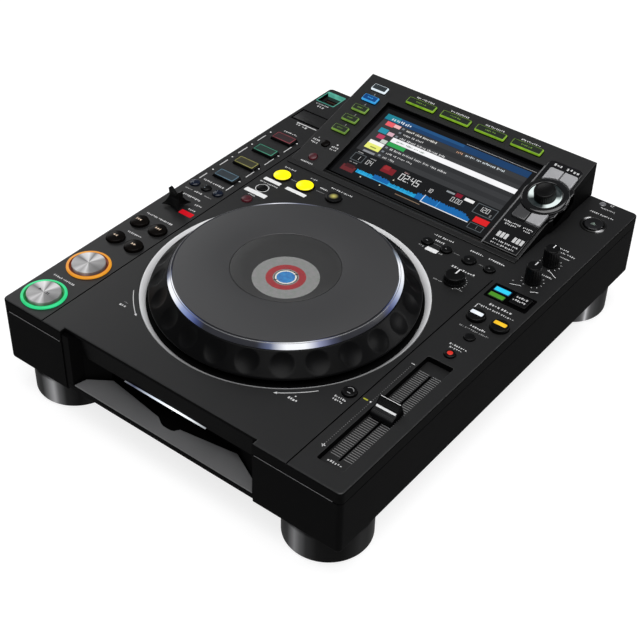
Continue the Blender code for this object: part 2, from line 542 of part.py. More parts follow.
bm = bmesh.new()
loft(bm, [[(x, y, z) for x, y in rounded(JOG_MODE[2] - i, JOG_MODE[3] - i, 1.0 - i * 0.5, 2)]
          for i, z in ((0.0, BUTTON_Z0 - PANEL_Z1), (0.0, 1.3), (0.6, 1.9))])
add("jog_mode_button", bm, KEYBLACK, (JOG_MODE[0], JOG_MODE[1], PANEL_Z1))


def carried(name, keys, height, mat, origin, bar_z):
    """Caps on one carrier bar under the panel."""
    ox, oy, oz = origin
    bm = bmesh.new()
    xs = [k[0] for k in keys]
    prism(bm, rect(min(xs) - 2.5 - ox, max(xs) + 2.5 - ox, keys[0][1] - 2.4 - oy, keys[0][1] + 2.4 - oy), bar_z - 1.6 - oz, bar_z - oz)
    ob = add(name, bm, mat, origin)
    bm = bmesh.new()
    for k in keys:
        r = k[2] if len(k) > 2 else BANK_R
        turned(bm, [(r, bar_z - 0.8 - oz), (r, PANEL_Z1 + height - 0.9 - oz), (r - 0.9, PANEL_Z1 + height - oz)], 12, k[0] - ox, k[1] - oy)
    tool(ob, "caps", bm, origin, 0.0, "UNION")
    return ob


carried("bank_keys", BANK_KEYS, BANK_H, KEYBLACK, (BANK_KEYS[1][0], BANK_KEYS[1][1], PANEL_Z1), 80.0)
carried("call_rocker", CALL_KEYS, ROCKER_H, KEYBLACK, ((CALL_KEYS[0][0] + CALL_KEYS[1][0]) / 2, CALL_KEYS[0][1], 85.0), 80.8)
carried("memory_rocker", MEMORY_KEYS, ROCKER_H, KEYBLACK, ((MEMORY_KEYS[0][0] + MEMORY_KEYS[1][0]) / 2, MEMORY_KEYS[0][1], 85.0), 80.8)

# ---------------------------------------------------------------- knobs
for name, (x, y) in TALL_KNOBS.items():
    bm = bmesh.new()
    turned(bm, [(2.6, -7.0), (2.6, 0.5), (6.9, 0.5), (6.9, 1.2), (6.7, 2.0), (6.2, 14.4), (5.6, 15.2)], 18)
    add(name, bm, KEYBLACK, (x, y, PANEL_Z1), smooth=True)
bm = bmesh.new()
turned(bm, [(2.6, -7.0), (2.6, 0.5), (8.8, 0.5), (8.8, 1.2), (8.4, 1.8), (8.0, 5.9), (7.3, 6.6)], 22)
add("jog_adjust_knob", bm, KEYBLACK, (ADJUST_KNOB[0], ADJUST_KNOB[1], PANEL_Z1), smooth=True)

# ---------------------------------------------------------------- direction lever
# flared skirt, waisted stem and a paddle with a saddle top, on its hinge line
rings = []
for a, b, z in ((2.2, 2.0, -3.0), (2.2, 2.0, 5.5), (8.8, 8.4, 5.5), (8.9, 8.5, 6.2), (6.9, 5.6, 8.2), (6.1, 3.4, 11.0), (6.0, 2.5, 14.0)):
    rings.append([(-a, -b, z), (0, -b, z), (a, -b, z), (a, 0, z), (a, b, z), (0, b, z), (-a, b, z), (-a, 0, z)])
a, b, top, dip = 6.5, 2.0, 19.5, 15.0
rings.append([(-a, -b, top), (0, -b, dip), (a, -b, top), (a, 0, top), (a, b, top), (0, b, dip), (-a, b, top), (-a, 0, top)])
bm = bmesh.new()
rows = [[bm.verts.new(p) for p in ring] for ring in rings]
for lo, hi in zip(rows[:-1], rows[1:]):
    for i in range(8):
        j = (i + 1) % 8
        bm.faces.new((lo[i], lo[j], hi[j], hi[i]))
bm.faces.new(list(reversed(rows[0])))
t = rows[-1]
bm.faces.new((t[0], t[1], t[5], t[6], t[7]))
bm.faces.new((t[1], t[2], t[3], t[4], t[5]))
add("direction_lever", bm, KEYBLACK, LEVER)

# ---------------------------------------------------------------- tempo fader cap
CAP = [(-128.3, 83.2), (-127.6, 86.3), (-127.0, 86.8), (-121.9, 89.0), (-118.2, 92.6), (-117.0, 94.3), (-116.2, 94.3),
       (-113.6, 87.2), (-112.7, 83.2)]
bm = bmesh.new()
side_prism(bm, [(y - FADER_Y, z - PANEL_Z1) for y, z in CAP], -9.2, 9.2)
fader_cap = add("fader_cap", bm, KEYBLACK, (FADER_X, FADER_Y, PANEL_Z1))
bm = bmesh.new()
prism(bm, rect(-0.5, 0.5, -2.5, 2.5), -9.0, -1.5)
tool(fader_cap, "stem", bm, (FADER_X, FADER_Y, PANEL_Z1), 0.0, "UNION")

# ---------------------------------------------------------------- card door
bm = bmesh.new()
prism(bm, rect(DOOR[0] - (DOOR[0] + DOOR[1]) / 2, DOOR[1] - (DOOR[0] + DOOR[1]) / 2, DOOR[2] - 155.45, DOOR[3] - 155.45), -0.75, 0.6)
add("sd_door", bm, PANEL, ((DOOR[0] + DOOR[1]) / 2, 155.45, 85.3))
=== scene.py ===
import math
import random

import bmesh
import bpy
from mathutils import Matrix, Vector


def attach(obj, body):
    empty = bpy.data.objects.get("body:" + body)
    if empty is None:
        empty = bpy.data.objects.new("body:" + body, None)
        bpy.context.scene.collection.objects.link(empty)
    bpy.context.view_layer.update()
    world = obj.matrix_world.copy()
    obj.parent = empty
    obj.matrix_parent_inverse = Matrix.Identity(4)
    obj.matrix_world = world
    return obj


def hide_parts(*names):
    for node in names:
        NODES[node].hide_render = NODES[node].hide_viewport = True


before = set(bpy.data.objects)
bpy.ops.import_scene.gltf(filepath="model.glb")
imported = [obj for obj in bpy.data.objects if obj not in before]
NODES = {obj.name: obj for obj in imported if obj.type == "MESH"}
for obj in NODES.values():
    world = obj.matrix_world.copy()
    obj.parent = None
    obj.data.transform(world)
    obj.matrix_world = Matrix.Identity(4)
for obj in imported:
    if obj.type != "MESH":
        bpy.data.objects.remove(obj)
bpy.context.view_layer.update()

SCENE = bpy.context.scene
MM = 0.001
RNG = random.Random(20)

# ================================================================ dimensions, mm
HX, HY, HEIGHT = 160.0, 202.5, 118.5
CASE_Z0, CASE_Z1, PANEL_Z0, PANEL_Z1, UNDER = 28.3, 75.7, 76.0, 86.0, 83.4
SLOPE_Y0, SLOPE_Z0 = 84.4, 86.9
SLOPE = math.atan2(HEIGHT - SLOPE_Z0, HY - SLOPE_Y0)
HOUSE_X0, HOUSE_X1, HOUSE_Y0 = -113.3, 116.0, 79.5
GLASS = (-79.5, 80.0, 8.0, 98.0)
SEL_X, SEL_S = 100.6, 66.0
JOG_X, JOG_Y = -1.5, -60.0
FADER_X, FADER_Y = 137.0, -121.5
MOUTH_X0, MOUTH_X1 = -98.3, 84.8
HOLE = 0.35


# ================================================================ shape tools
def rect(x0, x1, y0, y1):
    return [(x0, y0), (x1, y0), (x1, y1), (x0, y1)]


def rounded(x0, x1, y0, y1, r, seg):
    pts = []
    for cx, cy, a0 in ((x1 - r, y0 + r, -90), (x1 - r, y1 - r, 0), (x0 + r, y1 - r, 90), (x0 + r, y0 + r, 180)):
        for i in range(seg + 1):
            a = math.radians(a0 + 90.0 * i / seg)
            pts.append((cx + r * math.cos(a), cy + r * math.sin(a)))
    return pts


def centred(cx, cy, hx, hy, r, seg):
    return rounded(cx - hx, cx + hx, cy - hy, cy + hy, r, seg)


def circle(r, n, cx=0.0, cy=0.0):
    return [(cx + r * math.cos(2 * math.pi * i / n), cy + r * math.sin(2 * math.pi * i / n)) for i in range(n)]


def grow(pts, d):
    """Offset a counter-clockwise loop outwards by d."""
    n = len(pts)
    out = []
    for i in range(n):
        p, a, b = Vector(pts[i]), Vector(pts[i - 1]), Vector(pts[(i + 1) % n])
        e0, e1 = (p - a), (b - p)
        if e0.length < 1e-9 or e1.length < 1e-9:
            out.append(tuple(p))
            continue
        n0, n1 = Vector((e0.y, -e0.x)).normalized(), Vector((e1.y, -e1.x)).normalized()
        m = n0 + n1
        m = n0 if m.length < 1e-6 else m.normalized()
        c = max(0.35, m.dot(n0))
        out.append((p.x + m.x * d / c, p.y + m.y * d / c))
    return out


def loft(bm, rings, closed=False, cap0=True, cap1=True, mat=0):
    rows = [[bm.verts.new(p) for p in ring] for ring in rings]
    n = len(rows[0])
    pairs = list(zip(rows[:-1], rows[1:]))
    if closed:
        pairs.append((rows[-1], rows[0]))
    for a, b in pairs:
        for i in range(n):
            j = (i + 1) % n
            bm.faces.new((a[i], a[j], b[j], b[i])).material_index = mat
    if not closed:
        if cap0:
            bm.faces.new(list(reversed(rows[0]))).material_index = mat
        if cap1:
            bm.faces.new(rows[-1]).material_index = mat
    return rows


def prism(bm, pts, z0, z1, mat=0):
    return loft(bm, [[(x, y, z0) for x, y in pts], [(x, y, z1) for x, y in pts]], mat=mat)


def soft_prism(bm, pts, z0, z1, r=0.3, steps=3, mat=0, foot=0.0):
    """Prism with a rounded top edge (and a chamfered foot when asked)."""
    rings = []
    if foot:
        rings.append([(x, y, z0) for x, y in grow(pts, -foot)])
        rings.append([(x, y, z0 + foot) for x, y in pts])
    else:
        rings.append([(x, y, z0) for x, y in pts])
    for k in range(steps + 1):
        a = math.pi / 2 * k / steps
        rings.append([(x, y, z1 - r + r * math.sin(a)) for x, y in grow(pts, -r * (1 - math.cos(a)))])
    return loft(bm, rings, mat=mat)


def side_prism(bm, pts, x0, x1, mat=0):
    return loft(bm, [[(x0, y, z) for y, z in pts], [(x1, y, z) for y, z in pts]], mat=mat)


def turned(bm, profile, n, cx=0.0, cy=0.0, closed=False, mat=0):
    return loft(bm, [[(cx + r * math.cos(2 * math.pi * i / n), cy + r * math.sin(2 * math.pi * i / n), z)
                      for i in range(n)] for r, z in profile], closed, mat=mat)


def arc(cx, cz, r, a0, a1, steps):
    return [(cx + r * math.cos(math.radians(a0 + (a1 - a0) * k / steps)),
             cz + r * math.sin(math.radians(a0 + (a1 - a0) * k / steps))) for k in range(steps + 1)]


def plate(bm, outer, outer_rows, holes, z_bottom):
    """Flat plate: outer loop and holes with shaped edges. outer_rows and each hole's rows are
    (offset, z) from the top down; a hole with a floor ends there and may hold more holes."""
    top, bottom = [], []

    def strip(pts, rows):
        rings = [[bm.verts.new((x, y, z)) for x, y in grow(pts, d)] for d, z in rows]
        n = len(pts)
        for a, b in zip(rings[:-1], rings[1:]):
            for i in range(n):
                j = (i + 1) % n
                bm.faces.new((a[i], a[j], b[j], b[i]))
        return rings[0], rings[-1]

    def edges(ring):
        return [bm.edges.get((ring[i], ring[(i + 1) % len(ring)])) for i in range(len(ring))]

    def fill(rings):
        bmesh.ops.triangle_fill(bm, use_beauty=True, use_dissolve=False, edges=[e for r in rings for e in edges(r)])

    a, b = strip(outer, outer_rows)
    top.append(a)
    bottom.append(b)
    for hole in holes:
        a, b = strip(hole["pts"], hole["rows"])
        top.append(a)
        if "floor" in hole:
            level = [b]
            for inner in hole["floor"]:
                c, d = strip(inner["pts"], inner["rows"])
                level.append(c)
                bottom.append(d)
            fill(level)
        else:
            bottom.append(b)
    fill(top)
    fill(bottom)


def on_slope(x, s, n=0.0):
    return (x, SLOPE_Y0 + s * math.cos(SLOPE) - n * math.sin(SLOPE),
            SLOPE_Z0 + s * math.sin(SLOPE) + n * math.cos(SLOPE))


SLOPE_AT = (0.0, SLOPE_Y0, SLOPE_Z0)


def put(name, bm, mats, body, origin=(0, 0, 0), tilt=0.0, smooth=None, replaces=()):
    bmesh.ops.recalc_face_normals(bm, faces=bm.faces)
    for v in bm.verts:
        v.co *= MM
    me = bpy.data.meshes.new(name)
    bm.to_mesh(me)
    bm.free()
    for m in mats:
        me.materials.append(m)
    if smooth:
        me.shade_smooth()
        me.set_sharp_from_angle(angle=math.radians(smooth))
    ob = bpy.data.objects.new(name, me)
    SCENE.collection.objects.link(ob)
    ob.location = Vector(origin) * MM
    ob.rotation_euler = (tilt, 0.0, 0.0)
    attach(ob, body)
    if replaces:
        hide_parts(*replaces)
    return ob


def carve(ob, bm, origin=(0, 0, 0), tilt=0.0, operation="DIFFERENCE"):
    """Cut or join a tool body into ob for good."""
    bmesh.ops.recalc_face_normals(bm, faces=bm.faces)
    for v in bm.verts:
        v.co *= MM
    me = bpy.data.meshes.new("cutter")
    bm.to_mesh(me)
    bm.free()
    cutter = bpy.data.objects.new("cutter", me)
    SCENE.collection.objects.link(cutter)
    cutter.location = Vector(origin) * MM
    cutter.rotation_euler = (tilt, 0.0, 0.0)
    mod = ob.modifiers.new("cut", "BOOLEAN")
    mod.operation = operation
    mod.solver = "EXACT"
    mod.object = cutter
    bpy.context.view_layer.update()
    deps = bpy.context.evaluated_depsgraph_get()
    new = bpy.data.meshes.new_from_object(ob.evaluated_get(deps))
    old = ob.data
    ob.modifiers.clear()
    name = old.name
    ob.data = new
    bpy.data.meshes.remove(old)
    new.name = name
    bpy.data.objects.remove(cutter)
    bpy.data.meshes.remove(me)
    return ob


# ================================================================ materials
def lin(h):
    """sRGB hex to linear."""
    out = []
    for i in (0, 2, 4):
        c = int(h[i:i + 2], 16) / 255.0
        out.append(c / 12.92 if c <= 0.04045 else ((c + 0.055) / 1.055) ** 2.4)
    return tuple(out)


def noise(nt, vec, scale, detail=2.0, rough=0.5):
    n = nt.nodes.new("ShaderNodeTexNoise")
    n.inputs["Scale"].default_value = scale
    n.inputs["Detail"].default_value = detail
    n.inputs["Roughness"].default_value = rough
    nt.links.new(vec, n.inputs["Vector"])
    return n.outputs["Fac"]


def ramp(nt, fac, lo, hi, a=0.3, b=0.7):
    r = nt.nodes.new("ShaderNodeValToRGB")
    r.color_ramp.elements[0].position = a
    r.color_ramp.elements[1].position = b
    r.color_ramp.elements[0].color = (*lo, 1.0)
    r.color_ramp.elements[1].color = (*hi, 1.0)
    nt.links.new(fac, r.inputs["Fac"])
    return r.outputs["Color"]


def spread(nt, fac, lo, hi, a=0.3, b=0.7):
    m = nt.nodes.new("ShaderNodeMapRange")
    m.inputs["From Min"].default_value = a
    m.inputs["From Max"].default_value = b
    m.inputs["To Min"].default_value = lo
    m.inputs["To Max"].default_value = hi
    nt.links.new(fac, m.inputs["Value"])
    return m.outputs["Result"]


def base(name):
    mat = bpy.data.materials.new(name)
    mat.use_nodes = True
    nt = mat.node_tree
    bsdf = nt.nodes["Principled BSDF"]
    co = nt.nodes.new("ShaderNodeTexCoord").outputs["Object"]
    return mat, nt, bsdf, co


def surface(name, rgb, rough, metallic=0.0, vary=0.12, patch=35.0, grain=1500.0, bump=0.12, rough_vary=0.06,
            coat=0.0, specular=0.5, depth=0.00006):
    """Moulded or painted surface: slow colour drift, uneven gloss and a fine grain."""
    mat, nt, bsdf, co = base(name)
    slow = noise(nt, co, patch, 3.0)
    lo = tuple(c * (1 - vary) for c in rgb)
    hi = tuple(min(1.0, c * (1 + vary)) for c in rgb)
    nt.links.new(ramp(nt, slow, lo, hi), bsdf.inputs["Base Color"])
    fine = noise(nt, co, patch * 2.7, 4.0, 0.6)
    nt.links.new(spread(nt, fine, max(0.02, rough - rough_vary), rough + rough_vary), bsdf.inputs["Roughness"])
    bsdf.inputs["Metallic"].default_value = metallic
    bsdf.inputs["Specular IOR Level"].default_value = specular
    bsdf.inputs["Coat Weight"].default_value = coat
    bsdf.inputs["Coat Roughness"].default_value = 0.08
    if bump:
        b = nt.nodes.new("ShaderNodeBump")
        b.inputs["Strength"].default_value = bump
        b.inputs["Distance"].default_value = depth
        nt.links.new(noise(nt, co, grain, 2.0, 0.6), b.inputs["Height"])
        nt.links.new(b.outputs["Normal"], bsdf.inputs["Normal"])
    mat.diffuse_color = (*rgb, 1.0)
    return mat


def glow(name, rgb, strength=1.0, rgb2=None, rough=0.35, scale=160.0, body=0.25):
    """Lit translucent plastic: two close tones of light, drifting slowly."""
    mat, nt, bsdf, co = base(name)
    rgb2 = rgb2 or tuple(c * 0.82 for c in rgb)
    col = ramp(nt, noise(nt, co, scale, 2.0), rgb2, rgb)
    nt.links.new(col, bsdf.inputs["Emission Color"])
    bsdf.inputs["Emission Strength"].default_value = strength
    dark = ramp(nt, noise(nt, co, scale * 1.7, 2.0), tuple(c * body * 0.8 for c in rgb), tuple(c * body for c in rgb))
    nt.links.new(dark, bsdf.inputs["Base Color"])
    bsdf.inputs["Roughness"].default_value = rough
    mat.diffuse_color = (*rgb, 1.0)
    return mat


def radial(nt, co, cx=0.0, cy=0.0):
    """Distance and angle about the local z axis."""
    sep = nt.nodes.new("ShaderNodeSeparateXYZ")
    nt.links.new(co, sep.inputs["Vector"])

    def math_node(op, a, b=None, value=None):
        m = nt.nodes.new("ShaderNodeMath")
        m.operation = op
        nt.links.new(a, m.inputs[0])
        if b is not None:
            nt.links.new(b, m.inputs[1])
        elif value is not None:
            m.inputs[1].default_value = value
        return m.outputs["Value"]

    x = math_node("SUBTRACT", sep.outputs["X"], value=cx)
    y = math_node("SUBTRACT", sep.outputs["Y"], value=cy)
    d2 = math_node("ADD", math_node("MULTIPLY", x, x), math_node("MULTIPLY", y, y))
    return math_node("SQRT", d2), math_node("ARCTAN2", y, x), math_node


def spun_metal(name, rgb, rough=0.28, aniso=0.85, lines=9000.0, bump=0.25, metallic=1.0, vary=0.1):
    """Turned metal face: concentric tool marks and the fan of highlights they give."""
    mat, nt, bsdf, co = base(name)
    dist, ang, mth = radial(nt, co)
    comb = nt.nodes.new("ShaderNodeCombineXYZ")
    nt.links.new(mth("MULTIPLY", dist, value=1.0), comb.inputs["X"])
    nt.links.new(mth("MULTIPLY", ang, value=0.00004), comb.inputs["Y"])
    lines_fac = noise(nt, comb.outputs["Vector"], lines, 3.0, 0.7)
    nt.links.new(ramp(nt, lines_fac, tuple(c * (1 - vary) for c in rgb), tuple(min(1, c * (1 + vary)) for c in rgb)), bsdf.inputs["Base Color"])
    nt.links.new(spread(nt, lines_fac, rough - 0.05, rough + 0.06), bsdf.inputs["Roughness"])
    b = nt.nodes.new("ShaderNodeBump")
    b.inputs["Strength"].default_value = bump
    b.inputs["Distance"].default_value = 0.00002
    nt.links.new(lines_fac, b.inputs["Height"])
    nt.links.new(b.outputs["Normal"], bsdf.inputs["Normal"])
    bsdf.inputs["Metallic"].default_value = metallic
    bsdf.inputs["Anisotropic"].default_value = aniso
    tan = nt.nodes.new("ShaderNodeTangent")
    tan.direction_type = "RADIAL"
    tan.axis = "Z"
    nt.links.new(tan.outputs["Tangent"], bsdf.inputs["Tangent"])
    mat.diffuse_color = (*rgb, 1.0)
    return mat


M = {}
# black case plastic; also laid on panel and housing walls as painted shade
M["case"] = surface("black_case_and_painted_wall_shade", (0.0034, 0.0034, 0.0035), 0.60, vary=0.06, patch=9.0, bump=0.06, grain=1300.0, specular=0.008, rough_vary=0.01)
M["panel"] = surface("panel_charcoal_plastic", (0.0088, 0.0088, 0.0090), 0.41, vary=0.05, patch=9.0, bump=0.22, grain=1500.0, rough_vary=0.012, specular=0.44)
M["house"] = surface("housing_charcoal_plastic", (0.0088, 0.0088, 0.0090), 0.41, vary=0.05, patch=9.0, bump=0.22, grain=1500.0, rough_vary=0.012, specular=0.44)
M["gloss"] = surface("gloss_black_plastic", (0.0045, 0.0045, 0.005), 0.10, vary=0.2, bump=0.02, grain=300.0, rough_vary=0.03, coat=0.3)
M["key"] = surface("key_black_plastic", (0.0036, 0.0036, 0.0038), 0.32, vary=0.12, bump=0.03, grain=1200.0, rough_vary=0.02, specular=0.13)
M["lever"] = surface("lever_black_plastic", (0.0026, 0.0026, 0.0027), 0.42, vary=0.1, bump=0.03, grain=1200.0, rough_vary=0.02, specular=0.08)
M["rubber"] = surface("soft_black_rubber", (0.010, 0.010, 0.0105), 0.6, vary=0.2, bump=0.15, grain=900.0)
M["rim"] = surface("jog_rim_black", (0.0020, 0.0020, 0.0022), 0.38, vary=0.08, bump=0.04, grain=1100.0, rough_vary=0.02, specular=0.10)
M["lip"] = surface("lip_grey_plastic", (0.120, 0.120, 0.122), 0.5, vary=0.05, bump=0.2, grain=1300.0, specular=0.3)
# gloss black of the mouth, also used as painted shadow round the card door
M["jaw"] = surface("mouth_black_and_painted_gap_shade", (0.0017, 0.0017, 0.0018), 0.24, vary=0.12, bump=0.02, grain=500.0, specular=0.006, rough_vary=0.02)
M["chrome"] = surface("bright_chrome", (0.85, 0.85, 0.87), 0.08, metallic=1.0, vary=0.03, bump=0.01, rough_vary=0.03)
M["nickel"] = surface("nickel_shell", (0.62, 0.60, 0.57), 0.22, metallic=1.0, vary=0.05, bump=0.03)
M["gold"] = surface("gold_contact", (0.83, 0.60, 0.24), 0.22, metallic=1.0, vary=0.05, bump=0.02)
M["screw"] = surface("black_screw_steel", (0.06, 0.06, 0.065), 0.32, metallic=0.9, vary=0.1, bump=0.05)
M["steel"] = surface("drive_steel", (0.52, 0.52, 0.54), 0.32, metallic=1.0, vary=0.06, bump=0.1, grain=500.0)
M["board"] = surface("board_green_mask", (0.008, 0.075, 0.03), 0.35, vary=0.2, bump=0.1, grain=400.0)


def around(name, stops, tint, metallic, rough, grain, specular=0.5):
    """Turned or drawn metal whose tone changes with the angle about the local z axis: painted highlights and painted
    shade.
    stops are (angle in degrees, grey level)."""
    mat, nt, bsdf, co = base(name)
    dist, ang, mth = radial(nt, co)
    turn = spread(nt, ang, 0.0, 1.0, -math.pi, math.pi)
    r = nt.nodes.new("ShaderNodeValToRGB")
    while len(r.color_ramp.elements) > 1:
        r.color_ramp.elements.remove(r.color_ramp.elements[-1])
    for k, (a, v) in enumerate(stops):
        e = r.color_ramp.elements[0] if k == 0 else r.color_ramp.elements.new((a + 180.0) / 360.0)
        e.position = (a + 180.0) / 360.0
        e.color = (v * tint[0], v * tint[1], v * tint[2], 1.0)
    nt.links.new(turn, r.inputs["Fac"])
    comb = nt.nodes.new("ShaderNodeCombineXYZ")
    nt.links.new(dist, comb.inputs["X"])
    nt.links.new(mth("MULTIPLY", ang, value=0.00004), comb.inputs["Y"])
    fine = noise(nt, comb.outputs["Vector"], grain, 3.0, 0.7)
    mix = nt.nodes.new("ShaderNodeMix")
    mix.data_type = "RGBA"
    mix.blend_type = "MULTIPLY"
    mix.inputs["Factor"].default_value = 0.35
    nt.links.new(r.outputs["Color"], mix.inputs["A"])
    nt.links.new(ramp(nt, fine, (0.55, 0.55, 0.55), (1.0, 1.0, 1.0)), mix.inputs["B"])
    nt.links.new(mix.outputs["Result"], bsdf.inputs["Base Color"])
    nt.links.new(spread(nt, fine, rough - 0.04, rough + 0.05), bsdf.inputs["Roughness"])
    bsdf.inputs["Metallic"].default_value = metallic
    bsdf.inputs["Specular IOR Level"].default_value = specular
    mat.diffuse_color = (0.4, 0.4, 0.4, 1.0)
    return mat


# play and cue caps: bright fans of painted highlight set into the colour by angle
M["cap"] = around("silver_cap_with_painted_highlight_fans", [(-180, 0.22), (-166, 0.38), (-143, 0.46), (-115, 0.40), (-95, 0.72), (-76, 0.45), (-58, 0.82), (-40, 0.30), (-7, 0.22),
                                      (32, 0.40), (57, 0.35), (74, 0.85), (93, 0.70), (109, 0.20), (132, 0.85), (157, 0.65), (175, 0.18)],
                  (1.0, 0.985, 0.99), 0.25, 0.36, 9000.0)
# jog surround ring: light satin grey, darker from the front round to the right as painted shade
M["silver"] = around("ring_silver_with_painted_front_shade", [(-180, 0.90), (-128, 0.90), (-110, 0.55), (-92, 0.36), (-15, 0.36), (2, 0.55), (20, 0.90), (180, 0.90)],
                     (1.0, 1.0, 1.01), 0.05, 0.45, 2500.0)
# feet: near-black drums with painted highlight streaks at fixed angles, one set for each foot position
M["foot_left"] = around("foot_left_dark_with_painted_streaks", [(-180, 0.004), (-110, 0.004), (-98, 0.02), (-88, 0.16), (-77, 0.44), (-70, 0.14), (-60, 0.02), (-42, 0.006), (-20, 0.02), (-9, 0.03), (4, 0.01),
                                                  (40, 0.003), (90, 0.20), (130, 0.004)],
                       (1.0, 1.0, 1.02), 0.0, 0.5, 3000.0, specular=0.02)
M["foot"] = around("foot_front_right_dark_with_painted_streaks", [(-180, 0.004), (-125, 0.004), (-110, 0.03), (-104, 0.12), (-97, 0.25), (-89, 0.11), (-80, 0.03), (-66, 0.006), (-35, 0.003), (-20, 0.010), (-9, 0.018), (2, 0.008),
                                        (40, 0.003), (90, 0.20), (130, 0.004)],
                   (1.0, 1.0, 1.02), 0.0, 0.5, 3000.0, specular=0.02)
M["foot_rear"] = around("foot_rear_dark_with_painted_streaks", [(-180, 0.004), (-100, 0.003), (-58, 0.01), (-50, 0.05), (-40, 0.13), (-36, 0.30), (-33, 0.85), (-30, 0.30), (-26, 0.11), (-18, 0.05), (-8, 0.02), (5, 0.006),
                                                  (40, 0.003), (90, 0.20), (130, 0.004)],
                       (1.0, 1.0, 1.02), 0.0, 0.5, 3000.0, specular=0.02)
# light grey strips laid along edges as painted highlights and reflections
M["edge_line"] = surface("painted_highlight_line", (0.22, 0.22, 0.225), 0.3, vary=0.08, bump=0.02, metallic=0.3)
M["plate"] = spun_metal("jog_plate_anodised", (0.062, 0.062, 0.064), rough=0.46, aniso=0.2, lines=5000.0, bump=0.04, metallic=0.4, vary=0.03)
M["yellow"] = glow("loop_yellow_lit", lin("fff000"), 0.85, lin("f2dc00"), rough=0.25, body=0.6)
M["ink"] = surface("white_ink", (0.60, 0.60, 0.60), 0.5, vary=0.08, bump=0.0, specular=0.2)
# grey ink: print, and also painted glints on small caps and a painted highlight on the glass edge
M["ink_dim"] = surface("grey_print_and_painted_glint", (0.27, 0.27, 0.27), 0.5, vary=0.08, bump=0.0, specular=0.2)
# bright white ink: print and pointers, and also the painted highlight on the fader cap's ridge
M["ink_bright"] = surface("bright_white_print_and_painted_highlight", (0.85, 0.85, 0.85), 0.5, vary=0.04, bump=0.0)
M["ink_red"] = surface("red_ink", (0.66, 0.006, 0.016), 0.5, vary=0.06, bump=0.0, specular=0.08)
M["ink_dark"] = surface("dark_ink", (0.006, 0.006, 0.006), 0.4, vary=0.1, bump=0.0)

# ---------------------------------------------------------------- smoked jog window
def smoked(name, tone, alpha):
    mat, nt, bsdf, co = base(name)
    nt.links.new(ramp(nt, noise(nt, co, 60.0, 2.0), (tone * 0.95,) * 3, (tone * 1.05,) * 3), bsdf.inputs["Base Color"])
    bsdf.inputs["Metallic"].default_value = 0.4
    nt.links.new(spread(nt, noise(nt, co, 200.0, 3.0), 0.44, 0.50), bsdf.inputs["Roughness"])
    bsdf.inputs["Alpha"].default_value = alpha
    mat.diffuse_color = (tone, tone, tone, 0.6)
    return mat


M["window"] = smoked("smoked_window", 0.060, 0.80)
M["window_side"] = smoked("smoked_window_side", 0.02, 0.03)

# ================================================================ camera
AZ, EL, ROLL = math.radians(36.977), math.radians(39.651), math.radians(1.506)
back = Vector((math.cos(EL) * math.sin(AZ), -math.cos(EL) * math.cos(AZ), math.sin(EL)))
target = Vector((40.606, -71.628, 86.0)) * MM
fwd = -back
right = fwd.cross(Vector((0, 0, 1))).normalized()
up = right.cross(fwd)
right2 = right * math.cos(ROLL) + up * math.sin(ROLL)
up2 = -right * math.sin(ROLL) + up * math.cos(ROLL)
cam_data = bpy.data.cameras.new("camera")
cam_data.lens = 76.305
cam_data.sensor_width = 36.0
cam_data.sensor_fit = "HORIZONTAL"
cam_data.clip_start = 0.01
cam_data.clip_end = 50.0
cam = bpy.data.objects.new("camera", cam_data)
SCENE.collection.objects.link(cam)
rot = Matrix((right2, up2, back)).transposed().to_4x4()
cam.matrix_world = Matrix.Translation(target + back * (1005.458 * MM)) @ rot
SCENE.camera = cam

def dark_sides(ob, limit=0.6):
    """Faces that do not look up get the second material, black; on the walls of holes, wells, grooves and housing
    sides this black is painted shade.
    """
    ob.data.materials.append(M["case"])
    for f in ob.data.polygons:
        if f.normal.z < limit:
            f.material_index = 1


# ================================================================ lower case
bm = bmesh.new()
rows = [(4.2, CASE_Z0), (3.2, CASE_Z0 + 0.2)] + [(2.4 * (1 - math.sin(math.radians(a))), CASE_Z0 + 2.6 - 2.4 * math.cos(math.radians(a)))
                                                 for a in (15, 35, 55, 75, 90)] + [(0.0, CASE_Z1 - 0.4), (0.35, CASE_Z1)]
loft(bm, [[(x, y, z) for x, y in rounded(-HX + i, HX - i, -HY + i, HY - i, max(0.4, 4.0 - i), 8)] for i, z in rows])
case = put("lower_case_shell", bm, [M["case"]], "chassis", replaces=["lower_case"])
bm = bmesh.new()
prism(bm, rect(-HX + 3, HX - 3, -HY + 3, HY - 3), CASE_Z0 + 3, CASE_Z1 + 10)
carve(case, bm)
bm = bmesh.new()
prism(bm, rect(MOUTH_X0, MOUTH_X1, -HY - 5, -HY + 3.3), CASE_Z0 - 5, CASE_Z1 + 5)
prism(bm, rect(-150.0, 150.0, HY - 6, HY + 5), 36.0, 72.0)
carve(case, bm)
# underside: cooling slots, screw wells and a bare shallow plate recess
bm = bmesh.new()
for k in range(15):
    for side in (-1, 1):
        prism(bm, centred(side * 34.0, 20.0 + k * 6.0, 22.0, 1.2, 1.19, 3), CASE_Z0 - 2, CASE_Z0 + 5)
for x, y in ((-140, -40), (140, -40), (-140, 60), (140, 60), (-60, -186), (60, -186), (-60, 180), (60, 180), (0, -30)):
    prism(bm, circle(4.2, 24, x, y), CASE_Z0 - 2, CASE_Z0 + 1.6)
prism(bm, rounded(-52, 52, 116, 152, 2.0, 4), CASE_Z0 - 2, CASE_Z0 + 0.4)
carve(case, bm)
bm = bmesh.new()
for x, y in ((-140, -40), (140, -40), (-140, 60), (140, 60), (-60, -186), (60, -186), (-60, 180), (60, 180), (0, -30)):
    turned(bm, [(3.4, CASE_Z0 + 1.7), (3.4, CASE_Z0 + 0.7), (2.9, CASE_Z0 + 0.3), (1.7, CASE_Z0 + 0.2), (1.4, CASE_Z0 + 1.0)], 24, x, y)
put("underside_screws", bm, [M["screw"]], "chassis", smooth=30)

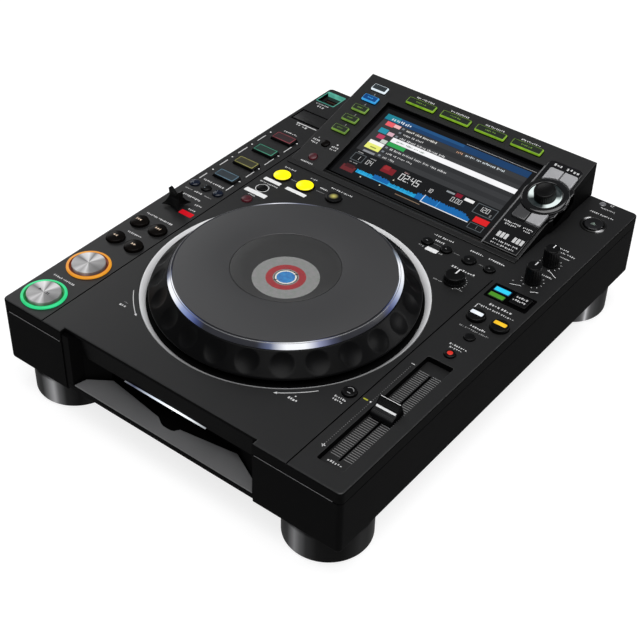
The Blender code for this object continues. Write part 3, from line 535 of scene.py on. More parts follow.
# ---------------------------------------------------------------- feet
for nm, fx, fy in (("foot_front_left", -124.6, -167.7), ("foot_front_right", 124.6, -167.7),
                   ("foot_rear_left", -124.6, 167.7), ("foot_rear_right", 124.6, 167.7)):
    bm = bmesh.new()
    prof = [(0.4, 0.0), (29.0, 0.0), (30.0, 0.2), (31.0, 0.7), (31.3, 1.6), (31.4, 2.4)]
    turned(bm, prof, 96, mat=1)
    prof = [(31.2, 1.4)] + arc(32.3, 2.4, 1.0, -90, 0, 5) + [(33.3, 24.4)] + arc(31.3, 24.4, 2.0, 0, 80, 6) + [(30.4, 26.5), (30.4, 27.9)]
    turned(bm, prof, 96)
    # each foot takes the painted highlight streaks for its place
    put(nm + "_drum", bm, [M["foot_rear" if fy > 0 else "foot_left" if fx < 0 else "foot"], M["rubber"]], "chassis", (fx, fy, 0.0), smooth=40, replaces=[nm])

# ================================================================ top panel
ROUND = {
    "play_button": (-138.5, -180.0, 13.3, 3.2), "cue_button": (-138.6, -133.0, 13.3, 3.2),
    "search_rev_button": (-148.3, -93.7, 7.6, 3.0), "search_fwd_button": (-128.6, -93.7, 7.6, 3.0),
    "track_rev_button": (-148.3, -66.2, 7.6, 3.0), "track_fwd_button": (-128.6, -66.2, 7.6, 3.0),
    "loop_in_button": (-101.8, 59.0, 8.3, 2.6), "loop_out_button": (-77.3, 59.0, 8.3, 2.6),
    "reloop_button": (-47.9, 60.3, 6.9, 2.4), "beat_loop_button": (-103.2, 34.2, 4.3, 1.6),
    "slip_button": (-102.9, 13.7, 4.4, 1.8), "tempo_reset_button": (105.2, -121.0, 5.4, 2.2),
    "tempo_range_button": (137.8, -18.3, 4.2, 1.6), "master_tempo_button": (137.1, -43.0, 4.3, 1.8),
    "sync_button": (128.4, 5.2, 7.3, 2.8), "master_button": (148.9, 5.2, 7.3, 2.8), "eject_button": (138.4, 165.3, 8.2, 1.8),
}
BANK = [(-151.8, 4.1), (-139.1, 4.1), (-126.4, 4.1)]
CALL = [(46.8, 60.1, 4.5), (64.8, 60.1, 4.5)]
MEMORY = [(86.4, 60.1, 5.5), (105.2, 60.1, 4.4)]
PAD = [(-136.8, 27.5 + 25.6 * k) for k in range(4)]
JOG_MODE = (145.4, 40.6, 7.0, 6.5)
TALL = {"touch_brake_knob": (138.0, 97.5), "release_start_knob": (138.5, 69.6)}
ADJUST = (91.5, 31.0)
FADER = (126.0, 148.0, -185.0, -54.0)
DOOR = (-155.8, -122.8, 139.4, 156.0)
WELL = (-157.3, -137.6, 176.6, 195.9)
SOCKET = (-154.0, -141.0, 183.2, 189.4)
CARD = (-151.8, -126.8, 143.4, 146.6)

LOW = PANEL_Z0


def through(pts, edge=0.2, z_top=PANEL_Z1, z_low=LOW):
    return {"pts": pts, "rows": [(edge, z_top), (edge * 0.3, z_top - edge * 0.3), (0.0, z_top - edge), (0.0, z_low)]}


holes = [through(circle(111.35, 128, JOG_X, JOG_Y), 0.25), through(rect(-111.2, 114.2, 88.0, 198.0), 0.1)]
for x, y, r, h in ROUND.values():
    holes.append(through(circle(r + HOLE, 64 if r > 10 else 40, x, y)))
for x, y in BANK:
    holes.append(through(circle(4.4 + HOLE, 32, x, y)))
for x, y, r in CALL + MEMORY:
    holes.append(through(circle(r + 0.6, 32, x, y)))
for x, y in PAD:
    holes.append(through(centred(x, y, 11.1 + HOLE, 5.7 + HOLE, 1.2, 4)))
holes.append(through(centred(JOG_MODE[0], JOG_MODE[1], 7.0 + HOLE, 6.5 + HOLE, 1.0, 4)))
for x, y in list(TALL.values()) + [ADJUST]:
    holes.append(through(circle(3.0, 24, x, y)))
holes.append(through(rect(-144.7, -139.3, -32.4, -26.0), 0.1))
holes.append({"pts": rounded(*FADER, 1.5, 5), "rows": [(0.35, 86.0), (0.1, 85.9), (0.0, 85.65), (0.0, 81.0)],
              "floor": [through(rounded(136.2, 137.8, -174.6, -66.4, 0.4, 2), 0.1, 81.0)]})
holes.append({"pts": rounded(*WELL, 0.8, 4), "rows": [(0.2, 86.0), (0.0, 85.8), (0.0, 82.0)],
              "floor": [through(rounded(*SOCKET, 0.5, 3), 0.1, 82.0)]})
holes.append({"pts": rect(DOOR[0] - 0.3, DOOR[1] + 0.3, DOOR[2] - 0.3, DOOR[3] + 0.3), "rows": [(0.15, 86.0), (0.0, 85.85), (0.0, 84.15)],
              "floor": [through(rounded(*CARD, 0.5, 3), 0.1, 84.15)]})
corner = rounded(-HX, HX, -HY, HY, 4.0, 8)
# front edge is set back over the disc mouth
outer = [(MOUTH_X1, -HY), *corner[:1], *corner[1:], (MOUTH_X0, -HY), (MOUTH_X0, -197.3), (MOUTH_X1, -197.3)]
edge = [(-1.2, 86.0), (-0.72, 85.9), (-0.35, 85.65), (-0.1, 85.28), (0.0, 84.8), (0.0, 76.3), (-0.3, 76.0)]
bm = bmesh.new()
plate(bm, outer, edge, holes, LOW)
panel = put("top_panel_moulding", bm, [M["panel"]], "chassis", replaces=["top_panel"])
X0, X1, Y0, Y1 = -HX + 3, HX - 3, -HY + 3, HY - 3
bm = bmesh.new()
prism(bm, [(X0, Y0), (124.0, Y0), (124.0, -52.0), (X1, -52.0), (X1, Y1), (-133.0, Y1), (-133.0, 172.0), (X0, 172.0)], PANEL_Z0 - 6, UNDER)
prism(bm, rect(124.01, X1, Y0, -52.01), PANEL_Z0 - 6, 79.5)
prism(bm, rect(X0, -133.01, 172.01, Y1), PANEL_Z0 - 6, 79.5)
carve(panel, bm)
bm = bmesh.new()
for xa, ya, yb in ((-117.5, -HY - 3, 205.0), (114.25, -HY - 3, 50.6)):
    loft(bm, [[(xa - 0.75, y, 86.3), (xa - 0.32, y, 85.7), (xa - 0.32, y, 84.9), (xa + 0.32, y, 84.9), (xa + 0.32, y, 85.7), (xa + 0.75, y, 86.3)]
              for y in (ya, yb)])
carve(panel, bm)
# side faces and hole walls go black, partly as painted shade
dark_sides(panel)
# painted highlight: thin light strip where the lower case meets the panel on the two front blocks
bm = bmesh.new()
for xa, xb in ((-154.0, MOUTH_X0 - 1.5), (MOUTH_X1 + 1.5, 153.0)):
    loft(bm, [[(xa, -HY + 0.02, 75.62), (xa, -HY + 0.5, 75.62), (xa, -HY + 0.5, 75.9), (xa, -HY + 0.02, 75.9)],
              [(xb, -HY + 0.02, 75.62), (xb, -HY + 0.5, 75.62), (xb, -HY + 0.5, 75.9), (xb, -HY + 0.02, 75.9)]])
put("front_parting_painted_highlight", bm, [M["edge_line"]], "chassis")

# ================================================================ printed marks
PRINT = {"ink": bmesh.new(), "ink_dim": bmesh.new(), "ink_bright": bmesh.new(), "ink_red": bmesh.new(), "ink_dark": bmesh.new()}
SLOPE_PRINT = {"ink": bmesh.new(), "ink_dim": bmesh.new(), "ink_bright": bmesh.new()}
TOP = 86.0


def bar(kind, x0, x1, y0, y1, r=0.25, z=TOP, t=0.05, store=PRINT):
    r = min(r, (x1 - x0) / 2 - 0.01, (y1 - y0) / 2 - 0.01)
    prism(store[kind], rounded(x0, x1, y0, y1, r, 2), z - 0.02, z + t)


def words(kind, x0, x1, y0, y1, parts, store=PRINT, z=TOP):
    """A line of small marks standing for a caption: parts are the relative word lengths."""
    gap = (y1 - y0) * 0.42
    total = sum(parts)
    span = (x1 - x0) - gap * (len(parts) - 1)
    x = x0
    for p in parts:
        w = span * p / total
        n = max(1, int(round(w / ((y1 - y0) * 0.9))))
        cell = w / n
        for i in range(n):
            tall = RNG.choice((0.92, 0.92, 0.8, 0.62))
            low = RNG.choice((0.0, 0.0, 0.12, 0.3))
            bar(kind, x + i * cell, x + (i + 1) * cell - cell * RNG.choice((0.34, 0.42, 0.55)), y0 + (y1 - y0) * low, y0 + (y1 - y0) * tall, 0.1, z, store=store)
        x += w + gap


def ring_mark(kind, cx, cy, r0, r1, a0=0.0, a1=360.0, n=48, z=TOP, store=PRINT):
    bm = store[kind]
    pts = []
    full = abs(a1 - a0) >= 359.9
    steps = n if full else max(4, int(n * abs(a1 - a0) / 360))
    lo, hi = [], []
    for i in range(steps if full else steps + 1):
        a = math.radians(a0 + (a1 - a0) * i / steps)
        c, s = math.cos(a), math.sin(a)
        lo.append((cx + r0 * c, cy + r0 * s))
        hi.append((cx + r1 * c, cy + r1 * s))
    if full:
        loft(bm, [[(x, y, z - 0.02) for x, y in lo], [(x, y, z - 0.02) for x, y in hi],
                  [(x, y, z + 0.05) for x, y in hi], [(x, y, z + 0.05) for x, y in lo]], closed=True)
    else:
        loop = hi + list(reversed(lo))
        prism(bm, loop, z - 0.02, z + 0.05)


def dot(kind, x, y, r, z=TOP, n=16, store=PRINT):
    prism(store[kind], circle(r, n, x, y), z - 0.02, z + 0.05)


# left strip
words("ink", -151.0, -129.0, -158.6, -156.6, [4, 5])
words("ink", -147.0, -132.5, -81.8, -79.8, [6])
words("ink", -153.0, -125.0, -53.6, -51.6, [5, 6])
words("ink", -149.0, -130.0, -14.2, -12.0, [9])
words("ink", -130.5, -123.0, -20.4, -18.3, [3])
words("ink", -130.5, -123.0, -28.0, -26.0, [3])
bar("ink_red", -134.0, -120.8, -36.3, -30.7, 0.6)
words("ink", -154.0, -146.5, -5.6, -4.6, [3])
words("ink", -144.0, -135.5, -6.0, -3.8, [4])
words("ink", -133.0, -125.3, -5.6, -4.6, [3])
words("ink", -150.0, -127.4, 12.4, 14.6, [4, 5])
for y0, y1 in ((12.0, 22.0), (38.0, 49.0), (62.5, 75.0), (88.5, 100.0)):
    bar("ink", -154.5, -153.5, y0, y1, 0.3)
    bar("ink", -124.95, -124.05, y0, y1, 0.3)
for y in (29.5, 54.8, 81.1, 106.8):
    dot("ink_bright", -154.0, y, 0.75)
    dot("ink_bright", -124.2, y, 0.75)
words("ink", -146.0, -131.0, 115.6, 117.6, [4, 3])
bar("ink_bright", -146.5, -124.8, 134.6, 135.6, 0.1)
words("ink", -145.0, -140.0, 131.2, 134.2, [2])
words("ink", -138.2, -132.2, 130.5, 133.4, [3])
words("ink", -154.0, -140.0, 172.2, 174.0, [4])
words("ink", -150.0, -142.0, 167.8, 170.4, [3])

# loop area
words("ink", -109.0, -97.0, 71.2, 73.2, [5])
words("ink", -81.0, -74.0, 71.2, 73.2, [3])
bar("ink_bright", -112.0, -94.5, 45.7, 49.8, 0.5)
bar("ink_bright", -88.5, -67.8, 45.7, 49.8, 0.5)
bar("ink_dim", -93.0, -87.0, 59.8, 60.4)
words("ink", -59.0, -36.5, 71.0, 73.0, [4, 5])
words("ink", -66.5, -57.5, 65.0, 67.0, [4])
words("ink_dim", -66.5, -57.5, 60.2, 61.0, [5])
ring_mark("ink", -103.4, 34.3, 5.2, 5.95)
words("ink", -112.0, -93.0, 41.6, 43.4, [3, 5])
bar("ink_bright", -114.5, -92.2, 23.2, 28.2, 0.5)
words("ink", -107.0, -100.0, 20.3, 22.0, [3])

# call, delete, memory
words("ink", 45.5, 64.5, 71.3, 73.4, [4, 6])
words("ink", 50.5, 59.5, 65.2, 67.4, [4])
words("ink_dim", 52.0, 59.0, 61.0, 61.9, [5])
bar("ink_bright", 50.2, 61.0, 50.7, 55.3, 0.5)
words("ink_dim", 43.0, 48.5, 52.2, 54.2, [3])
words("ink_dim", 62.5, 66.0, 52.2, 54.2, [2])
words("ink", 80.0, 92.5, 71.3, 73.4, [6])
words("ink", 97.0, 112.0, 71.3, 73.4, [7])
words("ink_dim", 71.0, 77.0, 60.7, 61.5, [4])
words("ink_dim", 95.0, 99.0, 60.7, 61.5, [2])
words("ink", 79.5, 101.0, 45.2, 47.6, [3, 6])
words("ink_dim", 77.0, 85.5, 23.4, 24.8, [5])
words("ink_dim", 95.5, 104.0, 23.4, 24.8, [5])
for k in range(11):
    a = math.radians(-62 + 152 * k / 10)
    dot("ink", ADJUST[0] + 9.9 * math.cos(a), ADJUST[1] + 9.9 * math.sin(a), 0.34, n=8)

# right strip
words("ink", 133.5, 142.0, 119.2, 121.0, [4])
words("ink", 137.0, 150.5, 114.8, 116.8, [3, 5])
words("ink", 139.0, 148.0, 109.6, 111.0, [5])
words("ink", 140.0, 149.5, 80.4, 82.2, [5])
def strip(kind, pts, w=0.5):
    """Thin printed polyline."""
    for (xa, ya), (xb, yb) in zip(pts[:-1], pts[1:]):
        d = Vector((xb - xa, yb - ya)).normalized()
        n_ = Vector((-d.y, d.x)) * (w / 2)
        e_ = d * (w * 0.35)
        prism(PRINT[kind], [(xa - e_.x + n_.x, ya - e_.y + n_.y), (xa - e_.x - n_.x, ya - e_.y - n_.y), (xb + e_.x - n_.x, yb + e_.y - n_.y), (xb + e_.x + n_.x, yb + e_.y + n_.y)],
              TOP - 0.02, TOP + 0.05)


for cx, cy in TALL.values():
    for k in range(12):
        a = math.radians(-65 + 310 * k / 11)
        c_, s_a = math.cos(a), math.sin(a)
        strip("ink_bright", [(cx + 8.2 * c_, cy + 8.2 * s_a), (cx + 9.2 * c_, cy + 9.2 * s_a)], 0.36)
strip("ink_bright", [(141.1, 92.1 - 3.6), (143.1, 88.2), (145.7, 86.9), (148.8, 84.7), (150.3, 84.3)], 0.55)
strip("ink_bright", [(144.2, 56.5), (147.2, 58.6), (149.5, 59.3)], 0.55)
dot("ink_dim", 126.4, 60.8, 0.7)
strip("ink_bright", [(126.7, 55.6), (129.7, 56.7), (131.9, 58.0), (134.6, 58.6)], 0.5)
words("ink", 131.0, 144.5, 190.8, 192.4, [5])
words("ink", 126.5, 148.5, 181.2, 183.2, [4, 6])
ring_mark("ink", 137.5, 201.0 - 1.6, 1.0, 1.5, -240, 60, 32)
words("ink", 128.0, 148.0, 23.6, 26.0, [4, 4])
words("ink", 124.0, 153.0, 18.2, 20.2, [4, 3, 5])
bar("ink", 120.7, 121.4, 14.6, 19.8)
bar("ink", 120.7, 123.4, 19.2, 19.8)
words("ink", 130.5, 144.0, -6.6, -4.4, [5])
words("ink_dim", 123.5, 149.5, -10.6, -8.9, [2, 2, 3, 4])
words("ink", 130.0, 145.0, -33.2, -31.2, [6])
words("ink", 132.0, 143.0, -36.4, -34.4, [5])
words("ink", 99.0, 109.0, -130.6, -128.7, [5])
words("ink", 99.6, 108.6, -133.8, -131.9, [5])

# tempo scale beside the fader
for k in range(50):
    y = -72.0 - k * 2.12
    if y < -169.8:
        break
    dot("ink_dim", 122.5, y, 0.3, n=6)
bar("ink_bright", 121.7, 122.9, -120.1, -118.9, 0.5)
bar("ink", 121.0, 124.2, -68.6, -67.9, 0.2)
bar("ink", 121.0, 124.2, -173.4, -172.7, 0.2)
bar("ink", 122.25, 122.95, -174.7, -171.4, 0.2)

# direction marks around the jog wheel: an arc with an arrow head on each side
for a0, a1, mark in ((219.5, 233.7, 1), (306.0, 320.5, -1)):
    ring_mark("ink", JOG_X, JOG_Y, 114.9, 115.5, a0, a1, 720)
    a = math.radians(a1 if mark == 1 else a0)
    tip = (JOG_X + 115.2 * math.cos(a), JOG_Y + 115.2 * math.sin(a))
    t = Vector((-math.sin(a), math.cos(a))) * (1 if mark == 1 else -1)
    nrm = Vector((math.cos(a), math.sin(a)))
    pts = [tip[0] + t.x * 2.6, tip[1] + t.y * 2.6], [tip[0] + nrm.x * 1.1, tip[1] + nrm.y * 1.1], [tip[0] - nrm.x * 1.1, tip[1] - nrm.y * 1.1]
    prism(PRINT["ink"], pts, TOP - 0.02, TOP + 0.05)
words("ink", -87.0, -80.5, -152.6, -150.2, [3])
words("ink_dim", -86.0, -82.4, -148.2, -146.9, [2])
words("ink", 75.0, 83.0, -152.6, -150.4, [4])
dot("ink", 78.6, -147.8, 0.6)

# ---------------------------------------------------------------- fader well floor scale
FLOOR = 81.0
for k in range(50):
    y = -66.4 - k * 2.14
    if y < -171.6:
        break
    bar("ink_dim", 127.3, 135.5, y - 0.22, y + 0.22, 0.1, FLOOR)
    bar("ink_dim", 138.5, 146.3, y - 0.22, y + 0.22, 0.1, FLOOR)
words("ink", 130.2, 142.4, -178.9, -176.7, [5], z=FLOOR)
for kind, b in PRINT.items():
    if len(b.verts):
        put("print_" + kind, b, [M[kind]], "chassis")
    else:
        b.free()

# ================================================================ play and cue
M["green_ring"] = glow("play_ring_green", lin("2cdc90"), 1.0, lin("20c070"), scale=70.0, body=0.1)
M["orange_ring"] = glow("cue_ring_orange", lin("e89c1c"), 0.95, lin("dc8822"), scale=70.0, body=0.1)
# the inner walls glow dimmer than the rings: painted shade in the gap round the cap
M["green_wall"] = glow("play_inner_wall_painted_shade_green", lin("0b8238"), 0.9, lin("075a24"), scale=70.0, body=0.1)
M["orange_wall"] = glow("cue_inner_wall_painted_shade_orange", lin("7c2c08"), 0.9, lin("521a06"), scale=70.0, body=0.1)
for nm, ring_mat, wall_mat in (("play", "green_ring", "green_wall"), ("cue", "orange_ring", "orange_wall")):
    x, y, r, h = ROUND[nm + "_button"]
    bm = bmesh.new()
    prof = [(17.6, 0.0), (17.6, 0.7)] + arc(16.9, 0.7, 0.7, 0, 80, 4) + [(15.4, 1.35)]
    turned(bm, prof + [(15.4, 0.0)], 96, closed=True)
    turned(bm, [(15.4, 1.2), (14.6, 0.7), (13.75, 0.5), (13.75, 0.0), (15.4, 0.0)], 96, closed=True, mat=1)
    put(nm + "_lit_collar", bm, [M[ring_mat], M[wall_mat]], "chassis", (x, y, 86.0), smooth=40)
    bm = bmesh.new()
    prof = [(13.3, -5.6), (13.3, h - 0.75)] + arc(12.65, h - 0.65, 0.6, 0, 60, 4) + [(12.6, h - 0.1), (12.1, h), (4.0, h - 0.05), (0.35, h - 0.1)]
    turned(bm, prof, 96)
    put(nm + "_cap", bm, [M["cap"]], nm + "_button", (x, y, 86.0), smooth=25, replaces=[nm + "_button"])
bm = bmesh.new()
px, py = ROUND["play_button"][0] - 4.2, ROUND["play_button"][1] + 0.6
prism(bm, [(px - 1.1, py - 1.2), (px + 1.3, py), (px - 1.1, py + 1.2)], 89.05, 89.22)
px = ROUND["play_button"][0] + 2.6
for dx in (0.0, 1.6):
    prism(bm, rect(px + dx, px + dx + 0.85, py - 1.3, py + 1.0), 89.05, 89.22)
put("play_cap_marks", bm, [M["ink_dark"]], "play_button")


# ================================================================ round buttons
def dome(r, h, z0=-5.6, crown=0.5, edge=0.8):
    prof = [(r, z0), (r, h - crown - edge)]
    prof += arc(r - edge, h - crown - edge, edge, 0, 62, 5)
    r1, z1 = prof[-1]
    for k in range(1, 6):
        t = k / 5
        prof.append((r1 * (1 - t) + 0.25 * t, z1 + (h - z1) * math.sin(t * math.pi / 2)))
    return prof


# transport keys: near-black with a warm tint that paints in the warm reflection on the domes
M["reflect"] = surface("transport_key_near_black_painted_warm_sheen", (0.0045, 0.0036, 0.0032), 0.20, vary=0.25, bump=0.0, rough_vary=0.03, specular=0.05)
M["warm_icon"] = surface("warm_icon_print_and_painted_glint", (0.72, 0.56, 0.42), 0.45, vary=0.1, bump=0.0)
ICON = bmesh.new()
for nm in ("search_rev_button", "search_fwd_button", "track_rev_button", "track_fwd_button"):
    x, y, r, h = ROUND[nm]
    bm = bmesh.new()
    turned(bm, dome(r, h, crown=0.55, edge=1.0), 56)
    put(nm + "_cap", bm, [M["reflect"]], nm, (x, y, 86.0), smooth=35, replaces=[nm])
    sgn = -1 if "rev" in nm else 1
    # printed arrow icons, made warm and bright as painted glints as well
    bm = bmesh.new()
    for k in (0, 1):
        px = sgn * (k * 2.3 - 2.0)
        pts = [(px, -1.2), (px + sgn * 2.0, 0.0), (px, 1.2)]
        pts = pts if sgn > 0 else list(reversed(pts))
        prism(bm, pts, h - 0.4, h + 0.02)
    if "track" in nm:
        px = sgn * 2.8
        prism(bm, rect(px - 0.28, px + 0.28, -1.2, 1.2), h - 0.4, h + 0.02)
    put(nm + "_icon", bm, [M["warm_icon"]], nm, (x, y, 86.0))

M["rim_dark"] = surface("button_rim_dark", (0.008, 0.006, 0.003), 0.35, vary=0.1, bump=0.0, specular=0.15)
for nm in ("loop_in_button", "loop_out_button"):
    x, y, r, h = ROUND[nm]
    bm = bmesh.new()
    turned(bm, [(r, -5.6), (r, 0.75), (r - 0.12, 1.0), (r - 0.4, 1.1), (7.0, 1.1)], 64)
    turned(bm, dome(7.45, h, z0=0.9, crown=0.75, edge=0.8), 64, mat=1)
    put(nm + "_dome", bm, [M["rim_dark"], M["yellow"]], nm, (x, y, 86.0), smooth=35, replaces=[nm])

SMALL = {"reloop_button": "key", "beat_loop_button": "key", "tempo_reset_button": "key", "tempo_range_button": "key"}
for nm, mt in SMALL.items():
    x, y, r, h = ROUND[nm]
    bm = bmesh.new()
    turned(bm, dome(r, h, crown=0.35, edge=0.6), 48)
    put(nm + "_dome", bm, [M[mt]], nm, (x, y, 86.0), smooth=35, replaces=[nm])
mat, nt, bsdf, co = base("reloop_glow")
dist, ang, mth = radial(nt, co)
nt.links.new(ramp(nt, dist, lin("d8d070"), lin("12100a"), 0.0004, 0.0034), bsdf.inputs["Emission Color"])
bsdf.inputs["Emission Strength"].default_value = 0.9
nt.links.new(ramp(nt, noise(nt, co, 300.0), (0.004, 0.004, 0.003), (0.008, 0.008, 0.006)), bsdf.inputs["Base Color"])
bsdf.inputs["Roughness"].default_value = 0.3
M["reloop_glow"] = mat
x, y, r, h = ROUND["reloop_button"]
bm = bmesh.new()
turned(bm, [(4.3, h - 0.4), (4.3, h - 0.06), (4.1, h), (2.2, h + 0.06), (0.2, h + 0.08)], 40)
put("reloop_lens", bm, [M["reloop_glow"]], "reloop_button", (x, y, 86.0), smooth=35)

x, y, r, h = ROUND["tempo_reset_button"]
# painted glint: a light arc and dash on the top of the dome
ICON = {"ink": bmesh.new()}
ring_mark("ink", 0.0, 0.0, 2.6, 3.2, 15, 150, 48, z=h - 0.12, store=ICON)
bar("ink", -0.4, 2.2, -2.6, -1.9, 0.2, h - 0.1, store=ICON)
put("tempo_reset_painted_glint", ICON["ink"], [M["ink_dim"]], "tempo_reset_button", (x, y, 86.0))

M["dark_red"] = glow("dark_red_lamp", lin("5a1824"), 0.55, lin("300810"), scale=220.0, body=0.3)
M["red_lamp"] = glow("red_lamp", lin("e03020"), 1.0, lin("b02014"))
for nm, mt in (("slip_button", "dark_red"), ("master_tempo_button", "key")):
    x, y, r, h = ROUND[nm]
    bm = bmesh.new()
    turned(bm, dome(r, h, crown=0.45, edge=0.6), 48)
    put(nm + "_dome", bm, [M[mt]], nm, (x, y, 86.0), smooth=35, replaces=[nm])
x, y, r, h = ROUND["master_tempo_button"]
bm = bmesh.new()
turned(bm, dome(2.2, h + 0.22, z0=h - 0.6, crown=0.18, edge=0.2), 32)
put("master_tempo_lamp", bm, [M["red_lamp"]], "master_tempo_button", (x, y, 86.0 - 0.0), smooth=35)

# sync and master: black round caps with a lit bar at the rear edge
M["white_bar"] = glow("sync_bar_white", lin("eef2f6"), 1.0, lin("d2dae2"))
M["yellow_bar"] = glow("master_bar_yellow", lin("f4c828"), 1.0, lin("e2ac18"))
for nm, lit in (("sync_button", "white_bar"), ("master_button", "yellow_bar")):
    x, y, r, h = ROUND[nm]
    bm = bmesh.new()
    turned(bm, dome(r, h, crown=0.08, edge=0.7), 56)
    put(nm + "_cap", bm, [M["key"]], nm, (x, y, 86.0), smooth=35, replaces=[nm])
    bm = bmesh.new()
    soft_prism(bm, centred(-0.4, 1.4, 5.2, 1.95, 0.9, 4), h - 0.5, h + 0.14, 0.15, 2)
    put(nm + "_light", bm, [M[lit]], nm, (x, y, 86.0), smooth=35)

# eject: chrome ring with a black centre; the ring's bright arcs are painted highlights
x, y, r, h = ROUND["eject_button"]
bm = bmesh.new()
turned(bm, [(8.6, 0.0), (11.2, 0.0), (11.1, 0.5), (10.7, 0.95), (9.9, 1.2), (9.2, 1.0), (8.65, 0.5)], 80, closed=True)
# the bright arcs at two angles are painted highlights
M["eject_ring"] = around("eject_ring_with_painted_highlight_arcs", [(-180, 0.02), (-70, 0.012), (-55, 0.04), (-46, 0.55), (-31, 0.90), (-18, 0.55), (-10, 0.04), (4, 0.014), (70, 0.03), (100, 0.014),
                                             (128, 0.03), (137, 0.60), (150, 0.95), (162, 0.60), (171, 0.04)], (1.0, 1.0, 1.0), 0.5, 0.25, 4000.0, specular=0.2)
put("eject_chrome_ring", bm, [M["eject_ring"]], "chassis", (x, y, 86.0), smooth=35)
bm = bmesh.new()
prof = [(r, -5.6), (r, h - 0.7)] + arc(r - 0.6, h - 0.7, 0.6, 0, 80, 4) + [(r - 1.6, h - 0.25), (r - 3.0, h - 0.5), (0.3, h - 0.6)]
turned(bm, prof, 56)
put("eject_cap", bm, [M["gloss"]], "eject_button", (x, y, 86.0), smooth=35, replaces=["eject_button"])
bm = bmesh.new()
prism(bm, [(-2.0, -0.2), (2.0, -0.2), (0.0, 2.0)], h - 0.62, h - 0.48)
prism(bm, rect(-2.0, 2.0, -1.4, -0.8), h - 0.62, h - 0.48)
M["eject_ink"] = surface("eject_icon_ink", (0.20, 0.26, 0.22), 0.45, vary=0.1, bump=0.0)
put("eject_icon", bm, [M["eject_ink"]], "eject_button", (x, y, 86.0))

# standby lamp and tempo lamp
M["lamp_off"] = surface("lamp_grey_lens", (0.16, 0.16, 0.17), 0.15, vary=0.1, bump=0.02, coat=0.5)
M["lamp_green"] = glow("lamp_yellow_green", lin("b0b030"), 0.9, lin("8c9020"))
bm = bmesh.new()
turned(bm, [(2.8, -0.1), (2.8, 0.25), (2.3, 0.55), (1.4, 0.8), (0.2, 0.9)], 32)
put("standby_lamp", bm, [M["lamp_off"]], "chassis", (130.0, 196.6, 86.0), smooth=35)
bm = bmesh.new()
soft_prism(bm, centred(0.0, 0.0, 2.0, 0.55, 0.4, 4), -0.1, 0.25, 0.12, 2)
put("tempo_lamp", bm, [M["lamp_green"]], "chassis", (118.0, -119.4, 86.0), smooth=35)

# bank keys: three small domes on one carrier
# light blue paint for the painted glints on the bank domes
M["lit_blue_ink"] = surface("bank_key_glint_paint", (0.42, 0.52, 0.60), 0.4, vary=0.1, bump=0.0)
M["navy"] = surface("bank_navy_plastic", (0.005, 0.009, 0.022), 0.18, vary=0.2, bump=0.0, specular=0.35)
bm = bmesh.new()
prism(bm, rect(BANK[0][0] - 2.5, BANK[2][0] + 2.5, BANK[0][1] - 2.4, BANK[0][1] + 2.4), 78.4, 80.0)
for k, (x, y) in enumerate(BANK):
    turned(bm, [(a, b + 86.0) for a, b in dome(4.4, 2.2, z0=-6.3, crown=0.9, edge=0.7)], 40, x, y, mat=1 if k != 1 else 0)
put("bank_key_domes", bm, [M["key"], M["navy"]], "bank_keys", smooth=35, replaces=["bank_keys"])
# painted glints: two short light-blue bars on each dome
ICON = {"ink": bmesh.new()}
for x, y in BANK:
    bar("ink", x - 0.3, x + 0.1, y - 2.2, y - 0.2, 0.1, 88.0, store=ICON)
    bar("ink", x - 1.3, x - 0.9, y - 0.2, y + 1.4, 0.1, 88.0, store=ICON)
put("bank_key_icons", ICON["ink"], [M["lit_blue_ink"]], "bank_keys")

# hot cue pads: black sides, a lit frame and a dark lens
PADS = [("6e90a4", "465e6c", "2b3942"), ("b0ac62", "757236", "3a391f"), ("54b090", "28705a", "1d3a32"), ("a44c54", "682832", "351f24")]
for k, (x, y) in enumerate(PAD):
    nm = "hot_cue_%d" % (k + 1)
    bm = bmesh.new()
    rings = [[(px, py, z) for px, py in centred(0, 0, 11.1 - i, 5.7 - i, 1.2, 5)] for i, z in ((0.0, -5.6), (0.0, 1.6), (0.12, 2.0), (0.5, 2.35))]
    loft(bm, rings)
    put(nm + "_block", bm, [M["key"]], nm, (x, y, 86.0), smooth=35, replaces=[nm])
    hi, lo, mid = PADS[k]
    m1 = glow("pad_frame_%d" % (k + 1), lin(hi), 0.75, lin(lo), scale=120.0, body=0.1)
    m2 = glow("pad_lens_%d" % (k + 1), lin(mid), 0.5, tuple(c * 0.7 for c in lin(mid)), rough=0.45, body=0.2)
    bm = bmesh.new()
    a, b = centred(0.1, 0.1, 9.9, 4.75, 0.9, 5), centred(0.1, 0.1, 9.25, 4.1, 0.6, 5)
    loft(bm, [[(px, py, 2.2) for px, py in a], [(px, py, 2.45) for px, py in a], [(px, py, 2.52) for px, py in grow(a, -0.12)],
              [(px, py, 2.52) for px, py in b], [(px, py, 2.2) for px, py in b]], closed=True)
    put(nm + "_frame", bm, [m1], nm, (x, y, 86.0))
    bm = bmesh.new()
    prism(bm, centred(0.1, 0.1, 9.25, 4.1, 0.6, 5), 2.2, 2.42)
    put(nm + "_lens", bm, [m2], nm, (x, y, 86.0))

